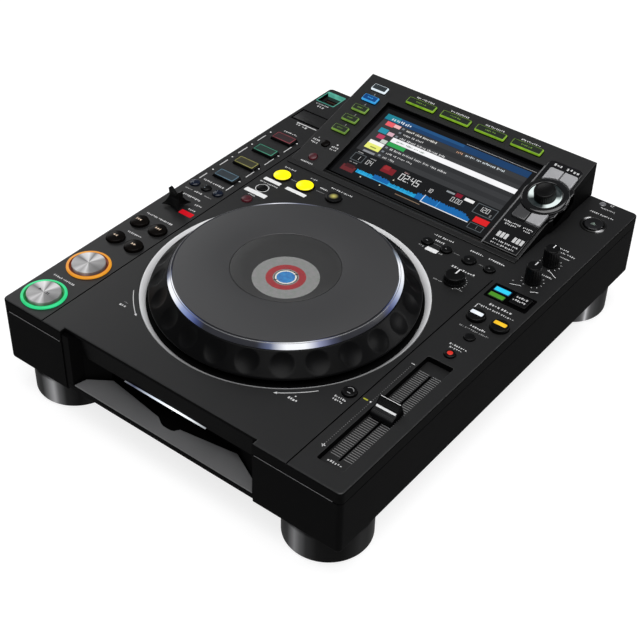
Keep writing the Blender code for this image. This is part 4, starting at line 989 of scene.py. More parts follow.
# jog mode: gloss inset with two lamps and a key
M["cyan"] = glow("mode_lamp_cyan", lin("28cdee"), 1.0, lin("20b4dc"))
M["lime"] = glow("mode_lamp_green", lin("4a981e"), 1.0, lin("418618"), body=0.1)
M["navy_edge"] = glow("mode_lamp_navy_edge", lin("123c66"), 0.8, lin("0c2a4c"), body=0.1)
M["green_edge"] = glow("mode_lamp_green_edge", lin("1c3c10"), 0.8, lin("142c0c"), body=0.1)
bm = bmesh.new()
hole = {"pts": centred(JOG_MODE[0], JOG_MODE[1], 7.45, 6.95, 1.0, 4), "rows": [(0.1, 0.3), (0.0, 0.2), (0.0, 0.0)]}
plate(bm, rounded(118.0, 155.0, 31.0, 50.0, 1.2, 5), [(-0.2, 0.3), (-0.06, 0.25), (0.0, 0.1), (0.0, 0.0)], [hole], 0.0)
put("jog_mode_inset", bm, [M["jaw"]], "chassis", (0, 0, 86.0))
bm = bmesh.new()
soft_prism(bm, rounded(120.5, 134.7, 40.6, 46.8, 0.8, 4), 0.2, 0.6, 0.2, 3, mat=1)
soft_prism(bm, rounded(121.2, 134.0, 41.3, 46.1, 0.6, 4), 0.5, 0.8, 0.15, 2)
put("jog_mode_lamp_upper", bm, [M["cyan"], M["navy_edge"]], "chassis", (0, 0, 86.0), smooth=35)
bm = bmesh.new()
soft_prism(bm, rounded(120.4, 134.1, 33.0, 38.6, 0.8, 4), 0.2, 0.6, 0.2, 3, mat=1)
soft_prism(bm, rounded(121.0, 133.5, 33.6, 38.0, 0.6, 4), 0.5, 0.8, 0.15, 2)
put("jog_mode_lamp_lower", bm, [M["lime"], M["green_edge"]], "chassis", (0, 0, 86.0), smooth=35)
bm = bmesh.new()
soft_prism(bm, centred(0, 0, 7.0, 6.5, 1.0, 4), -5.6, 1.9, 0.5, 4)
put("jog_mode_cap", bm, [M["key"]], "jog_mode_button", (JOG_MODE[0], JOG_MODE[1], 86.0), smooth=35, replaces=["jog_mode_button"])
MARKS = {"ink": bmesh.new()}
words("ink", 140.3, 150.5, 42.4, 44.6, [4], store=MARKS, z=87.9)
words("ink", 139.6, 150.8, 38.0, 40.2, [5], store=MARKS, z=87.9)
put("jog_mode_marks", MARKS["ink"], [M["ink"]], "jog_mode_button")

# rockers: two caps on one bar each
for nm, keys in (("call_rocker", CALL), ("memory_rocker", MEMORY)):
    bm = bmesh.new()
    prism(bm, rect(keys[0][0] - 2.5, keys[1][0] + 2.5, keys[0][1] - 2.4, keys[0][1] + 2.4), 79.2, 80.8)
    for x, y, r in keys:
        turned(bm, [(a, b + 86.0) for a, b in dome(r, 2.0, z0=-6.2, crown=0.35, edge=0.7)], 44, x, y)
    put(nm + "_caps", bm, [M["key"]], nm, smooth=35, replaces=[nm])
    # painted glints: a small light bar near the centre of each cap
    ICON = {"ink": bmesh.new()}
    for x, y, r in keys:
        bar("ink", x - 0.9, x + 0.5, y - 0.9, y - 0.2, 0.2, 87.98, store=ICON)
    put(nm + "_icons", ICON["ink"], [M["ink_dim"]], nm)

# ================================================================ knobs
def fluted(bm, prof, flutes, depth, per=6, z0=None, z1=None, mat=0):
    """Turned body whose side between z0 and z1 carries round grip flutes."""
    rings = []
    n = flutes * per
    for r, z in prof:
        ring = []
        on = z0 is not None and z0 <= z <= z1
        for i in range(n):
            a = 2 * math.pi * i / n
            cut = depth * (0.5 - 0.5 * math.cos(flutes * a)) ** 2 if on else 0.0
            ring.append(((r - cut) * math.cos(a), (r - cut) * math.sin(a), z))
        rings.append(ring)
    loft(bm, rings, mat=mat)


for nm, (x, y) in TALL.items():
    bm = bmesh.new()
    turned(bm, [(2.6, -6.9), (2.6, 0.6), (6.9, 0.6), (6.9, 1.2), (6.8, 1.6), (6.7, 1.9)], 72)
    fluted(bm, [(6.68, 1.8), (6.68, 2.4), (6.6, 4.0), (6.5, 7.0), (6.4, 10.0), (6.3, 12.9), (6.2, 13.8), (6.0, 14.5), (5.7, 14.95), (5.2, 15.18), (4.4, 15.1), (0.2, 14.9)],
           18, 0.4, 6, 2.3, 13.2)
    put(nm + "_body", bm, [M["key"]], nm, (x, y, 86.0), smooth=40, replaces=[nm])
    bm = bmesh.new()
    prism(bm, rounded(-0.4, 0.4, 0.8, 5.3, 0.2, 2), 14.98, 15.18)
    loft(bm, [[(-0.4, 5.8, 14.2), (0.4, 5.8, 14.2), (0.4, 6.2, 14.0), (-0.4, 6.2, 14.0)], [(-0.4, 6.1, 8.0), (0.4, 6.1, 8.0), (0.4, 6.55, 8.0), (-0.4, 6.55, 8.0)]])
    put(nm + "_pointer", bm, [M["ink_bright"]], nm, (x, y, 86.0))
bm = bmesh.new()
turned(bm, [(2.6, -6.9), (2.6, 0.6), (8.8, 0.6), (8.8, 1.0), (8.7, 1.3), (8.5, 1.7), (8.4, 1.9)], 84)
fluted(bm, [(8.38, 1.8), (8.3, 2.2), (8.2, 3.6), (8.05, 5.0), (7.95, 5.7), (7.7, 6.2), (7.3, 6.5), (6.5, 6.6), (5.4, 6.45), (0.2, 6.35)], 24, 0.4, 6, 2.1, 5.2)
put("jog_adjust_body", bm, [M["key"]], "jog_adjust_knob", (ADJUST[0], ADJUST[1], 86.0), smooth=40, replaces=["jog_adjust_knob"])
bm = bmesh.new()
prism(bm, rounded(-0.55, 0.55, 1.2, 7.6, 0.2, 2), 6.42, 6.6)
put("jog_adjust_pointer", bm, [M["ink_bright"]], "jog_adjust_knob", (ADJUST[0], ADJUST[1], 86.0))

# ================================================================ direction lever
def superloop(a, b, z, n=40, e=3.0, dip=0.0):
    pts = []
    for i in range(n):
        t = 2 * math.pi * i / n
        c, s = math.cos(t), math.sin(t)
        px = a * math.copysign(abs(c) ** (2 / e), c)
        py = b * math.copysign(abs(s) ** (2 / e), s)
        pts.append((px, py, z + dip * (px / a) ** 2))
    return pts


def star(a, b, pull, z, per=10):
    """Four-pointed loop: corners at (a, b), sides pulled towards the middle."""
    corners = [(a, -b), (a, b), (-a, b), (-a, -b)]
    pts = []
    for k in range(4):
        (xa, ya), (xb, yb) = corners[k], corners[(k + 1) % 4]
        for i in range(per):
            u = i / per
            f = 1.0 - pull * math.sin(math.pi * u) ** 0.8
            pts.append(((xa + (xb - xa) * u) * f, (ya + (yb - ya) * u) * f, z))
    return pts


LEVER = [(2.15, 1.95, 0.0, -2.9), (2.15, 1.95, 0.0, 5.65), (8.4, 8.0, 0.34, 5.65), (8.75, 8.35, 0.34, 5.8), (8.8, 8.4, 0.34, 6.1), (8.5, 8.1, 0.34, 6.5), (7.6, 6.8, 0.30, 7.3), (6.8, 5.6, 0.24, 8.4),
         (6.3, 4.3, 0.14, 9.8), (5.9, 3.3, 0.08, 11.2), (5.6, 2.7, 0.04, 12.3), (5.2, 2.2, 0.0, 12.9)]
bm = bmesh.new()
loft(bm, [star(*row) for row in LEVER])
lever = put("direction_lever_grip", bm, [M["lever"]], "direction_lever", (-142.0, -29.2, 82.0), replaces=["direction_lever"])
bm = bmesh.new()
edge_pts = [(-5.5, 8.0), (5.5, 8.0), (5.7, 12.0), (6.2, 17.8), (6.4, 18.9), (6.2, 19.3), (5.85, 19.45), (5.45, 19.3)]
for k in range(1, 12):
    t = 1 - 2 * k / 12
    edge_pts.append((4.6 * t, 14.3 + 4.9 * min(1.0, abs(t)) ** 1.1))
edge_pts += [(-5.45, 19.3), (-5.85, 19.45), (-6.2, 19.3), (-6.4, 18.9), (-6.2, 17.8), (-5.7, 12.0)]
loft(bm, [[(x, y, z) for x, z in grow(edge_pts, -d)] for y, d in ((-2.0, 0.25), (-1.75, 0.0), (1.75, 0.0), (2.0, 0.25))])
carve(lever, bm, (-142.0, -29.2, 82.0), operation="UNION")

# ================================================================ fader cap
CAP = [(-128.3, 83.25), (-128.25, 84.6), (-127.95, 85.9), (-127.55, 86.45), (-127.0, 86.8), (-125.6, 87.35), (-123.6, 88.2), (-121.9, 89.0), (-120.3, 90.4),
       (-118.9, 91.8), (-118.0, 92.8), (-117.3, 93.7), (-116.9, 94.15), (-116.5, 94.3), (-116.15, 94.1), (-115.8, 93.2), (-114.8, 90.2), (-113.7, 87.0), (-113.1, 85.0), (-112.75, 83.25)]
bm = bmesh.new()
prof = [(y - FADER_Y, z - 86.0) for y, z in CAP]
cy = sum(p[0] for p in prof) / len(prof)
cz = sum(p[1] for p in prof) / len(prof)


def shrink(k):
    return [(cy + (py - cy) * k, max(83.25 - 86.0, cz + (pz - cz) * k)) for py, pz in prof]


loft(bm, [[(x, py, pz) for py, pz in shrink(k)] for x, k in ((-9.15, 0.955), (-9.0, 0.975), (-8.7, 0.992), (-8.2, 1.0), (8.2, 1.0), (8.7, 0.992), (9.0, 0.975), (9.15, 0.955))])
prism(bm, rect(-0.5, 0.5, -2.5, 2.5), -8.9, -2.8)
put("fader_cap_body", bm, [M["key"]], "fader_cap", (FADER_X, FADER_Y, 86.0), smooth=30, replaces=["fader_cap"])


def cap_line(bm, k, width, lift, half=8.3, mat=0):
    """Thin stripe lying on the cap between profile positions k and k + width."""
    def at(t):
        i = min(int(t), len(prof) - 2)
        f = t - i
        return (prof[i][0] * (1 - f) + prof[i + 1][0] * f, prof[i][1] * (1 - f) + prof[i + 1][1] * f)
    a, b = Vector(at(k)), Vector(at(k + width))
    d = (b - a).normalized()
    nrm = Vector((-d.y, d.x))
    if nrm.y < 0:
        nrm = -nrm
    q = [a - nrm * 0.05, b - nrm * 0.05, b + nrm * lift, a + nrm * lift]
    side_prism(bm, [(v.x, v.y) for v in q], -half, half, mat)


bm = bmesh.new()
cap_line(bm, 6.55, 0.85, 0.04)
put("fader_line", bm, [M["ink_bright"]], "fader_cap", (FADER_X, FADER_Y, 86.0))
# painted highlight: white stripe along the rear ridge of the cap
bm = bmesh.new()
cap_line(bm, 12.1, 0.8, 0.03)
put("fader_ridge_painted_highlight", bm, [M["ink_bright"]], "fader_cap", (FADER_X, FADER_Y, 86.0))
bm = bmesh.new()
for k, w in ((4.6, 0.10), (5.1, 0.10), (8.1, 0.12), (8.6, 0.12), (9.1, 0.12), (9.7, 0.12), (10.3, 0.12)):
    cap_line(bm, k, w, 0.12)
put("fader_grip_ribs", bm, [M["rubber"]], "fader_cap", (FADER_X, FADER_Y, 86.0))

# ================================================================ card door
# painted shadow: black frame round the door opening, widest at the front, for the shade in the gap
bm = bmesh.new()
dx0, dx1, dy0, dy1 = DOOR[0] - 0.3, DOOR[1] + 0.3, DOOR[2] - 0.3, DOOR[3] + 0.3
a, b = rect(dx0 - 0.35, dx1 + 0.35, dy0 - 1.5, dy1 + 0.45), rect(dx0, dx1, dy0, dy1)
loft(bm, [[(x, y, 85.9) for x, y in a], [(x, y, 86.03) for x, y in a], [(x, y, 86.03) for x, y in b], [(x, y, 85.9) for x, y in b]], closed=True)
put("card_door_painted_shadow_gap", bm, [M["jaw"]], "chassis")
bm = bmesh.new()
soft_prism(bm, rect(-16.15, 16.15, -15.7, 0.3), -0.75, 0.35, 0.15, 2)
put("card_door_flap", bm, [M["panel"]], "sd_door", (-139.3, 155.45, 85.3), smooth=35, replaces=["sd_door"])
bm = bmesh.new()
for k in range(3):
    prism(bm, rounded(-5.0, 5.0, -14.2 + k * 1.1, -13.7 + k * 1.1, 0.2, 2), 0.3, 0.43)
put("card_door_grip", bm, [M["panel"]], "sd_door", (-139.3, 155.45, 85.3))
# painted shade: black strip along the door's front edge
bm = bmesh.new()
prism(bm, rect(-15.9, 15.9, -15.62, -15.2), 0.3, 0.38)
put("card_door_painted_front_shade", bm, [M["jaw"]], "sd_door", (-139.3, 155.45, 85.3))

# ================================================================ USB well
M["teal"] = glow("usb_frame_teal", lin("62b8a4"), 0.8, lin("3c8c7c"), scale=120.0)
M["teal_dim"] = glow("usb_wall_teal", lin("2c5f5a"), 0.6, lin("1c403e"), scale=120.0)
bm = bmesh.new()
x0, x1, y0, y1 = WELL
a, b = rounded(x0 - 0.25, x1 + 0.25, y0 - 0.25, y1 + 0.25, 1.0, 5), rounded(x0 + 0.4, x1 - 0.4, y0 + 0.4, y1 - 0.4, 0.5, 5)
loft(bm, [[(x, y, 86.0) for x, y in a], [(x, y, 86.1) for x, y in a], [(x, y, 86.2) for x, y in grow(a, -0.1)], [(x, y, 86.2) for x, y in b],
          [(x, y, 85.8) for x, y in b], [(x, y, 85.8) for x, y in grow(b, 0.3)], [(x, y, 86.0) for x, y in grow(b, 0.3)]], closed=True)
put("usb_frame", bm, [M["teal"]], "chassis")
bm = bmesh.new()
prism(bm, rect(x0 + 0.3, x1 - 0.3, y1 - 1.4, y1 - 0.05), 82.0, 85.6)
put("usb_lit_wall", bm, [M["teal"]], "chassis")
bm = bmesh.new()
sx0, sx1, sy0, sy1 = SOCKET
a, b = rounded(sx0, sx1, sy0, sy1, 0.5, 3), rounded(sx0 + 0.4, sx1 - 0.4, sy0 + 0.4, sy1 - 0.4, 0.3, 3)
loft(bm, [[(x, y, 76.5) for x, y in b], [(x, y, 76.5) for x, y in a], [(x, y, 82.05) for x, y in a], [(x, y, 82.5) for x, y in grow(a, 0.5)],
          [(x, y, 82.5) for x, y in b]], closed=True)
put("usb_shell", bm, [M["screw"]], "chassis")
bm = bmesh.new()
prism(bm, rect(sx0 + 0.6, sx1 - 0.6, sy0 + 3.4, sy1 - 0.9), 76.5, 81.6)
M["tongue"] = surface("usb_tongue_brown", (0.03, 0.012, 0.008), 0.4, vary=0.2, bump=0.0)
put("usb_tongue", bm, [M["tongue"]], "chassis")
bm = bmesh.new()
for k in range(4):
    prism(bm, rect(sx0 + 2.3 + k * 2.5, sx0 + 3.3 + k * 2.5, sy0 + 3.25, sy0 + 3.42), 77.5, 81.3)
put("usb_contacts", bm, [M["gold"]], "chassis")

# ================================================================ jog wheel
# the ring's darker front arc is painted shade in its material
bm = bmesh.new()
turned(bm, [(106.2, 81.45), (108.05, 81.45), (108.05, UNDER + 0.05), (111.0, UNDER + 0.05), (111.0, 86.05), (110.92, 86.2), (110.8, 86.25), (110.65, 86.2), (106.3, 81.95)], 192, closed=True)
put("jog_silver_ring", bm, [M["silver"]], "chassis", (JOG_X, JOG_Y, 0.0), smooth=40, replaces=["jog_surround_ring"])

# rim: a 45 degree flank with round finger dimples, grown from spheres
DIMPLES, PER, UP = 24, 28, 28
FR0, FZ0, FR1, FZ1 = 103.7, 88.8, 89.8, 102.45
FLEN = math.hypot(FR1 - FR0, FZ1 - FZ0)
DIP, DEEP = 8.8, 1.45
BALL = (DIP ** 2 + DEEP ** 2) / (2 * DEEP)
RIM = [(85.6, 86.95, None), (103.5, 86.95, None), (103.85, 87.1, None), (104.0, 87.5, None), (104.0, 88.1, None), (103.92, 88.5, None)]
RIM += [(FR0 + (FR1 - FR0) * k / UP, FZ0 + (FZ1 - FZ0) * k / UP, (k / UP - 0.5) * FLEN) for k in range(UP + 1)]
RIM += [(89.45, 102.62, None), (89.1, 102.62, None), (88.8, 102.4, None), (85.6, 102.4, None)]
NR, NZ = (FZ1 - FZ0) / FLEN, -(FR1 - FR0) / FLEN
bm = bmesh.new()
rings = []
for r, z, along in RIM:
    ring = []
    for i in range(DIMPLES * PER):
        a = 2 * math.pi * i / (DIMPLES * PER)
        sink = 0.0
        if along is not None:
            off = ((i + 0.0) / PER) % 1.0 - 0.5
            across = r * 2 * math.pi * off / DIMPLES
            d2 = across * across + along * along
            if d2 < DIP * DIP:
                sink = math.sqrt(BALL * BALL - d2) - (BALL - DEEP)
        rr = r - sink * NR
        ring.append((rr * math.cos(a), rr * math.sin(a), z - sink * NZ))
    rings.append(ring)
loft(bm, rings, closed=True)
put("jog_rim_flank", bm, [M["rim"]], "jog_wheel", (JOG_X, JOG_Y, 0.0), smooth=50, replaces=["jog_rim"])

# lit ring above the flank: dim all round, with four bright white lobes that fade through blue
mat, nt, bsdf, co = base("jog_ring_light")
dist, ang, mth = radial(nt, co)
r_ = nt.nodes.new("ShaderNodeValToRGB")
DIM, WHITE = lin("202126"), lin("f8faff")
stops = [(-180, DIM), (-146, DIM), (-140, lin("1c2034")), (-135, lin("7a8196")), (-130, WHITE), (-119, WHITE), (-110, lin("8e9dc6")), (-104, lin("6574a8")), (-98, lin("34406e")), (-93, DIM),
         (-65, DIM), (-58, lin("5a6484")), (-51, WHITE), (-42, WHITE), (-35, lin("8b90b0")), (-29, lin("40445c")), (-24, DIM),
         (2, DIM), (9, lin("3c4674")), (15, lin("7a86ac")), (22, lin("c0c8dc")), (34, WHITE), (43, WHITE), (50, lin("8c98a8")), (57, DIM),
         (110, DIM), (121, lin("6a7088")), (129, lin("d8dce8")), (135, lin("f4f6ff")), (140, lin("a8acb8")), (148, DIM), (180, DIM)]
while len(r_.color_ramp.elements) > 1:
    r_.color_ramp.elements.remove(r_.color_ramp.elements[-1])
for k, (a, colr) in enumerate(stops):
    e = r_.color_ramp.elements[0] if k == 0 else r_.color_ramp.elements.new((a + 180.0) / 360.0)
    e.position = (a + 180.0) / 360.0
    e.color = (*colr, 1.0)
wob = mth("ADD", spread(nt, ang, 0.0, 1.0, -math.pi, math.pi), mth("MULTIPLY", spread(nt, noise(nt, co, 30.0, 1.0), -1.0, 1.0), value=0.002))
nt.links.new(wob, r_.inputs["Fac"])
nt.links.new(r_.outputs["Color"], bsdf.inputs["Emission Color"])
bsdf.inputs["Emission Strength"].default_value = 1.0
nt.links.new(ramp(nt, noise(nt, co, 60.0, 2.0), (0.010, 0.010, 0.012), (0.016, 0.016, 0.018)), bsdf.inputs["Base Color"])
bsdf.inputs["Roughness"].default_value = 0.35
bsdf.inputs["Specular IOR Level"].default_value = 0.3
M["ring_light"] = mat
bm = bmesh.new()
turned(bm, [(85.45, 102.5), (85.45, 106.45), (85.55, 106.68), (85.8, 106.78), (86.15, 106.75), (86.45, 106.55), (88.9, 103.2), (89.02, 102.95), (88.95, 102.7), (88.7, 102.5)], 256, closed=True)
put("jog_light_ring", bm, [M["ring_light"]], "jog_wheel", (JOG_X, JOG_Y, 0.0), smooth=50)
# painted highlight: thin light ring along the edge between the plate and the lit ring
bm = bmesh.new()
turned(bm, [(86.3, 106.62), (86.5, 106.6), (86.72, 106.32), (86.55, 106.25)], 256, closed=True)
put("jog_ring_edge_painted_highlight", bm, [M["edge_line"]], "jog_wheel", (JOG_X, JOG_Y, 0.0), smooth=50)

bm = bmesh.new()
turned(bm, [(42.45, 105.5), (84.9, 105.5), (84.95, 106.6), (84.8, 106.95), (84.4, 107.05), (60.0, 107.85), (42.9, 108.38), (42.65, 108.33), (42.45, 108.1)], 256, closed=True)
turned(bm, [(39.5, 105.52), (42.5, 105.52), (42.5, 106.4), (39.5, 106.4)], 128, closed=True)
put("jog_top_plate", bm, [M["plate"]], "jog_wheel", (JOG_X, JOG_Y, 0.0), smooth=40, replaces=["jog_plate"])
bm = bmesh.new()
turned(bm, [(42.1, 107.6), (42.1, 108.05), (42.0, 108.2), (41.7, 108.32), (30.0, 108.38), (0.3, 108.4)], 160)
for f in bm.faces:
    f.material_index = 0 if min(v.co.z for v in f.verts) > 108.15 else 1
put("jog_window_disc", bm, [M["window"], M["window_side"]], "jog_wheel", (JOG_X, JOG_Y, 0.0), smooth=40, replaces=["jog_window"])

# centre display on the fixed post
DISP_Z = 98.3
M["disp_dark"] = surface("centre_display_dark", (0.02, 0.02, 0.021), 0.4, vary=0.1, bump=0.03)
M["disp_grey"] = glow("centre_display_grey", lin("d2cdd0"), 1.75, lin("bcc4bc"), scale=260.0)
M["disp_red"] = glow("centre_display_red", lin("e81c2c"), 2.0, lin("cc1a2c"), scale=160.0)
M["disp_white"] = glow("centre_display_white", lin("fffdf0"), 4.0, lin("e8e4dc"), scale=160.0)
M["disp_blue"] = glow("centre_display_blue", lin("2a9ce4"), 3.4, lin("1470c0"), scale=300.0)
for nm, kind, r0, r1, z in (("dark", "disp_dark", 25.8, 39.2, 0.05), ("field", "disp_grey", 15.4, 25.8, 0.12), ("band", "disp_red", 10.0, 15.4, 0.14),
                            ("inner", "disp_grey", 9.0, 10.0, 0.12), ("gap", "ink_dark", 8.3, 9.0, 0.12), ("circle", "disp_white", 7.1, 8.3, 0.14)):
    bm = bmesh.new()
    turned(bm, [(r0, 0.0), (r1, 0.0), (r1, z), (r0, z)], 96, closed=True)
    put("centre_display_" + nm, bm, [M[kind]], "chassis", (JOG_X, JOG_Y, DISP_Z), smooth=35)
bm = bmesh.new()
turned(bm, [(7.1, 0.0), (7.1, 0.14), (0.2, 0.14)], 64)
put("centre_display_core", bm, [M["disp_blue"]], "chassis", (JOG_X, JOG_Y, DISP_Z), smooth=35)
bm = bmesh.new()
for a in (60, 240):
    c, s = math.cos(math.radians(a)), math.sin(math.radians(a))
    prism(bm, [(7.0 * c + 0.5 * s, 7.0 * s - 0.5 * c), (9.9 * c + 0.5 * s, 9.9 * s - 0.5 * c), (9.9 * c - 0.5 * s, 9.9 * s + 0.5 * c), (7.0 * c - 0.5 * s, 7.0 * s + 0.5 * c)], 0.1, 0.2)
put("centre_display_ticks", bm, [M["ink_dark"]], "chassis", (JOG_X, JOG_Y, DISP_Z))

# ================================================================ display housing
TOP_S = 122.254
KEYS_SOURCE = [(-94.6, 107.4), (-94.7, 92.8), (-95.2, 78.2), (-95.5, 63.7), (-95.7, 49.2)]
KEYS_BROWSE = [(-50.3, 108.2), (-14.4, 108.2), (21.3, 108.2), (57.2, 108.2)]
SLOPE_BUTTONS = {"time_mode_button": (-96.9, 29.0, 3.7), "quantize_button": (-96.9, 10.9, 3.8)}


def segment_key(side, end, grow_by=0.0, n=9):
    r = 20.7 - grow_by
    xa, xb = SEL_X + side * (0.65 - grow_by), SEL_X + side * (13.0 + grow_by)
    outer_s = SEL_S + end * (30.6 + grow_by)
    pts = []
    for i in range(n):
        x = xa + (xb - xa) * i / (n - 1)
        pts.append((x, SEL_S + end * math.sqrt(r * r - (x - SEL_X) ** 2)))
    pts += [(xb, outer_s - end * 1.5), (xb - side * 0.45, outer_s - end * 0.45), (xb - side * 1.5, outer_s), (xa, outer_s)]
    area = sum(pts[i - 1][0] * pts[i][1] - pts[i][0] * pts[i - 1][1] for i in range(len(pts)))
    return pts if area > 0 else list(reversed(pts))


# slope face with its key openings, walls straight down to the panel
bm = bmesh.new()
c, s_ = math.cos(SLOPE), math.sin(SLOPE)


def wall_row(inset, drop):
    """Stub for a loop of the wedge outline in slope coordinates; it returns nothing."""
    return None


def key_hole(pts, edge=0.25, low=-8.6):
    return {"pts": pts, "rows": [(edge, 0.0), (edge * 0.3, -edge * 0.3), (0.0, -edge), (0.0, low)]}


slope_holes = []
for x, s in KEYS_SOURCE:
    slope_holes.append(key_hole(centred(x, s, 7.6 + HOLE, 3.8 + HOLE, 1.0, 4)))
for x, s in KEYS_BROWSE:
    slope_holes.append(key_hole(centred(x, s, 14.6 + HOLE, 3.9 + HOLE, 1.0, 4)))
for x, s, r in SLOPE_BUTTONS.values():
    slope_holes.append(key_hole(circle(r + HOLE, 32, x, s)))
for side in (-1, 1):
    for end in (-1, 1):
        slope_holes.append(key_hole(segment_key(side, end, HOLE)))
slope_holes.append(key_hole(circle(3.4, 24, SEL_X, SEL_S)))
# glass recess: steep walls at the back and sides, a ramp in front
gx0, gx1, gs0, gs1 = GLASS
rim_loop = [(gx0, 1.5), (gx1, 1.5), (gx1, gs1), (gx0, gs1)]
ledge_loop = [(gx0, gs0), (gx1, gs0), (gx1, gs1), (gx0, gs1)]
outline = [(HOUSE_X0, 0.0), (HOUSE_X1, 0.0), (HOUSE_X1, 46.0), (117.4, 48.3), (118.0, 49.5), (118.0, 82.5), (117.4, 83.7), (HOUSE_X1, 86.0), (HOUSE_X1, TOP_S), (HOUSE_X0, TOP_S)]

strips = []


def slope_strip(loops):
    rings = [[bm.verts.new(p) for p in loop] for loop in loops]
    n = len(rings[0])
    for a, b in zip(rings[:-1], rings[1:]):
        for i in range(n):
            j = (i + 1) % n
            bm.faces.new((a[i], a[j], b[j], b[i]))
    return rings[0], rings[-1]


def ring_edges(ring):
    return [bm.edges.get((ring[i], ring[(i + 1) % len(ring)])) for i in range(len(ring))]


def fill_rings(rings):
    bmesh.ops.triangle_fill(bm, use_beauty=True, use_dissolve=False, edges=[e for r in rings for e in ring_edges(r)])


tops, lows = [], []
e1, e2 = grow(outline, -0.7), grow(outline, -0.2)
front_flat = []
a, b = slope_strip([[(x, y, 0.0) for x, y in e1], [(x, y, -0.2) for x, y in e2], [(x, y, -0.7) for x, y in outline], [(x, y, -8.6) for x, y in outline]])
tops.append(a)
lows.append(b)
for h in slope_holes:
    a, b = slope_strip([[(x, y, z) for x, y in grow(h["pts"], d)] for d, z in h["rows"]])
    tops.append(a)
    lows.append(b)
a, b = slope_strip([[(x, y, 0.0) for x, y in grow(rim_loop, 0.3)], [(x, y, -0.3) for x, y in rim_loop], [(x, y, -4.0) for x, y in ledge_loop],
                    [(x, y, -5.8) for x, y in ledge_loop]])
tops.append(a)
fill_rings(tops)
fill_rings([b])
fill_rings(lows)
# the slope slab is cut off below the panel top and behind the rear edge
housing = put("display_housing_face", bm, [M["house"]], "chassis", SLOPE_AT, SLOPE, replaces=["display_housing"])
bm = bmesh.new()
side_prism(bm, [(40.0, 60.0), (202.5, 60.0), (202.5, 130.0), (240.0, 130.0), (240.0, 40.0), (40.0, 40.0)], -200, 200)
loft(bm, [[(x, y, 20.0) for x, y in rect(-200, 200, 20, 240)], [(x, y, 86.32) for x, y in rect(-200, 200, 20, 240)]])
bm2 = bmesh.new()
prism(bm2, rect(-200, 200, 30, 260), 10.0, 86.32)
carve(housing, bm2)
bm2 = bmesh.new()
prism(bm2, rect(-200, 200, HY - 0.001, 260), 60.0, 150.0)
carve(housing, bm2)
# housing side faces go black, partly as painted shade
dark_sides(housing)
housing.data.transform(housing.matrix_basis)
housing.matrix_basis = Matrix.Identity(4)
bm.free()

# wedge side walls, rear wall and front lip under the slope face
bm = bmesh.new()


def under(y, n=-8.0):
    return SLOPE_Z0 + (y - SLOPE_Y0) * math.tan(SLOPE) + n / math.cos(SLOPE)


for x0, x1 in ((HOUSE_X0, HOUSE_X0 + 5.0), (HOUSE_X1 - 5.0, HOUSE_X1)):
    ya = 84.4 + 27.0
    side_prism(bm, [(ya, 86.3), (HY, 86.3), (HY, under(HY)), (ya + 3.2, under(ya + 3.2))], x0, x1)
side_prism(bm, [(HY - 3.2, 86.3), (HY, 86.3), (HY, under(HY)), (HY - 3.2, under(HY - 3.2))], HOUSE_X0 + 5.01, HOUSE_X1 - 5.01)
side_prism(bm, [(79.5, 86.3), (79.6, 86.7), (79.9, 86.9), (84.6, 86.9), (88.0, 86.3)], HOUSE_X0, HOUSE_X1)
bulge = [(112.0, on_slope(0, 44.5)[1]), (HOUSE_X1, on_slope(0, 46.0)[1]), (117.4, on_slope(0, 48.3)[1]), (118.0, on_slope(0, 49.5)[1]),
         (118.0, on_slope(0, 82.5)[1]), (117.4, on_slope(0, 83.7)[1]), (HOUSE_X1, on_slope(0, 86.0)[1]), (112.0, on_slope(0, 87.5)[1])]
loft(bm, [[(x, y, 88.0) for x, y in bulge], [(x, y, under(y, -0.75)) for x, y in bulge]])
prism(bm, rect(-110.8, 113.8, 88.4, 89.6), 83.8, 86.9)
prism(bm, rect(-110.8, 113.8, 196.4, 197.6), 83.8, 90.0)
# wall faces go black, partly as painted shade
dark_sides(put("display_housing_walls", bm, [M["house"]], "chassis"))

# ================================================================ display
bm = bmesh.new()
soft_prism(bm, rounded(gx0 + 0.3, gx1 - 0.3, gs0 + 0.35, gs1 - 0.35, 0.6, 3), -5.5, -4.0, 0.1, 1)
put("display_cover", bm, [M["gloss"]], "chassis", SLOPE_AT, SLOPE, replaces=["display_glass"])

SCREEN = {}
SN = -3.99


def pane(col, x0, x1, s0, s1, lift=0, t=0.02):
    """Lit rectangle of the screen; x and s are as seen, moved back for the depth of the glass."""
    b = SCREEN.setdefault(col, bmesh.new())
    prism(b, rect(x0 - 2.4, x1 - 2.4, s0 + 2.17, s1 + 2.17), SN - 0.01 + lift * t, SN + t + lift * t)


def poly(col, pts, lift=0, t=0.02):
    b = SCREEN.setdefault(col, bmesh.new())
    prism(b, [(x - 2.4, s + 2.17) for x, s in pts], SN - 0.01 + lift * t, SN + t + lift * t)


def text_row(col, x0, s, parts, size=1.9, lift=3, gap=1.3):
    """A row of word-like dashes, unreadable on purpose."""
    x = x0
    for p in parts:
        for i in range(p):
            hgt = RNG.choice((1.0, 0.72, 0.72, 0.85)) * size
            pane(col, x, x + size * RNG.choice((0.26, 0.34, 0.42)), s - size / 2 + size * RNG.choice((0.0, 0.0, 0.2)), s - size / 2 + hgt * 0.86, lift)
            x += size * 0.62
        x += gap


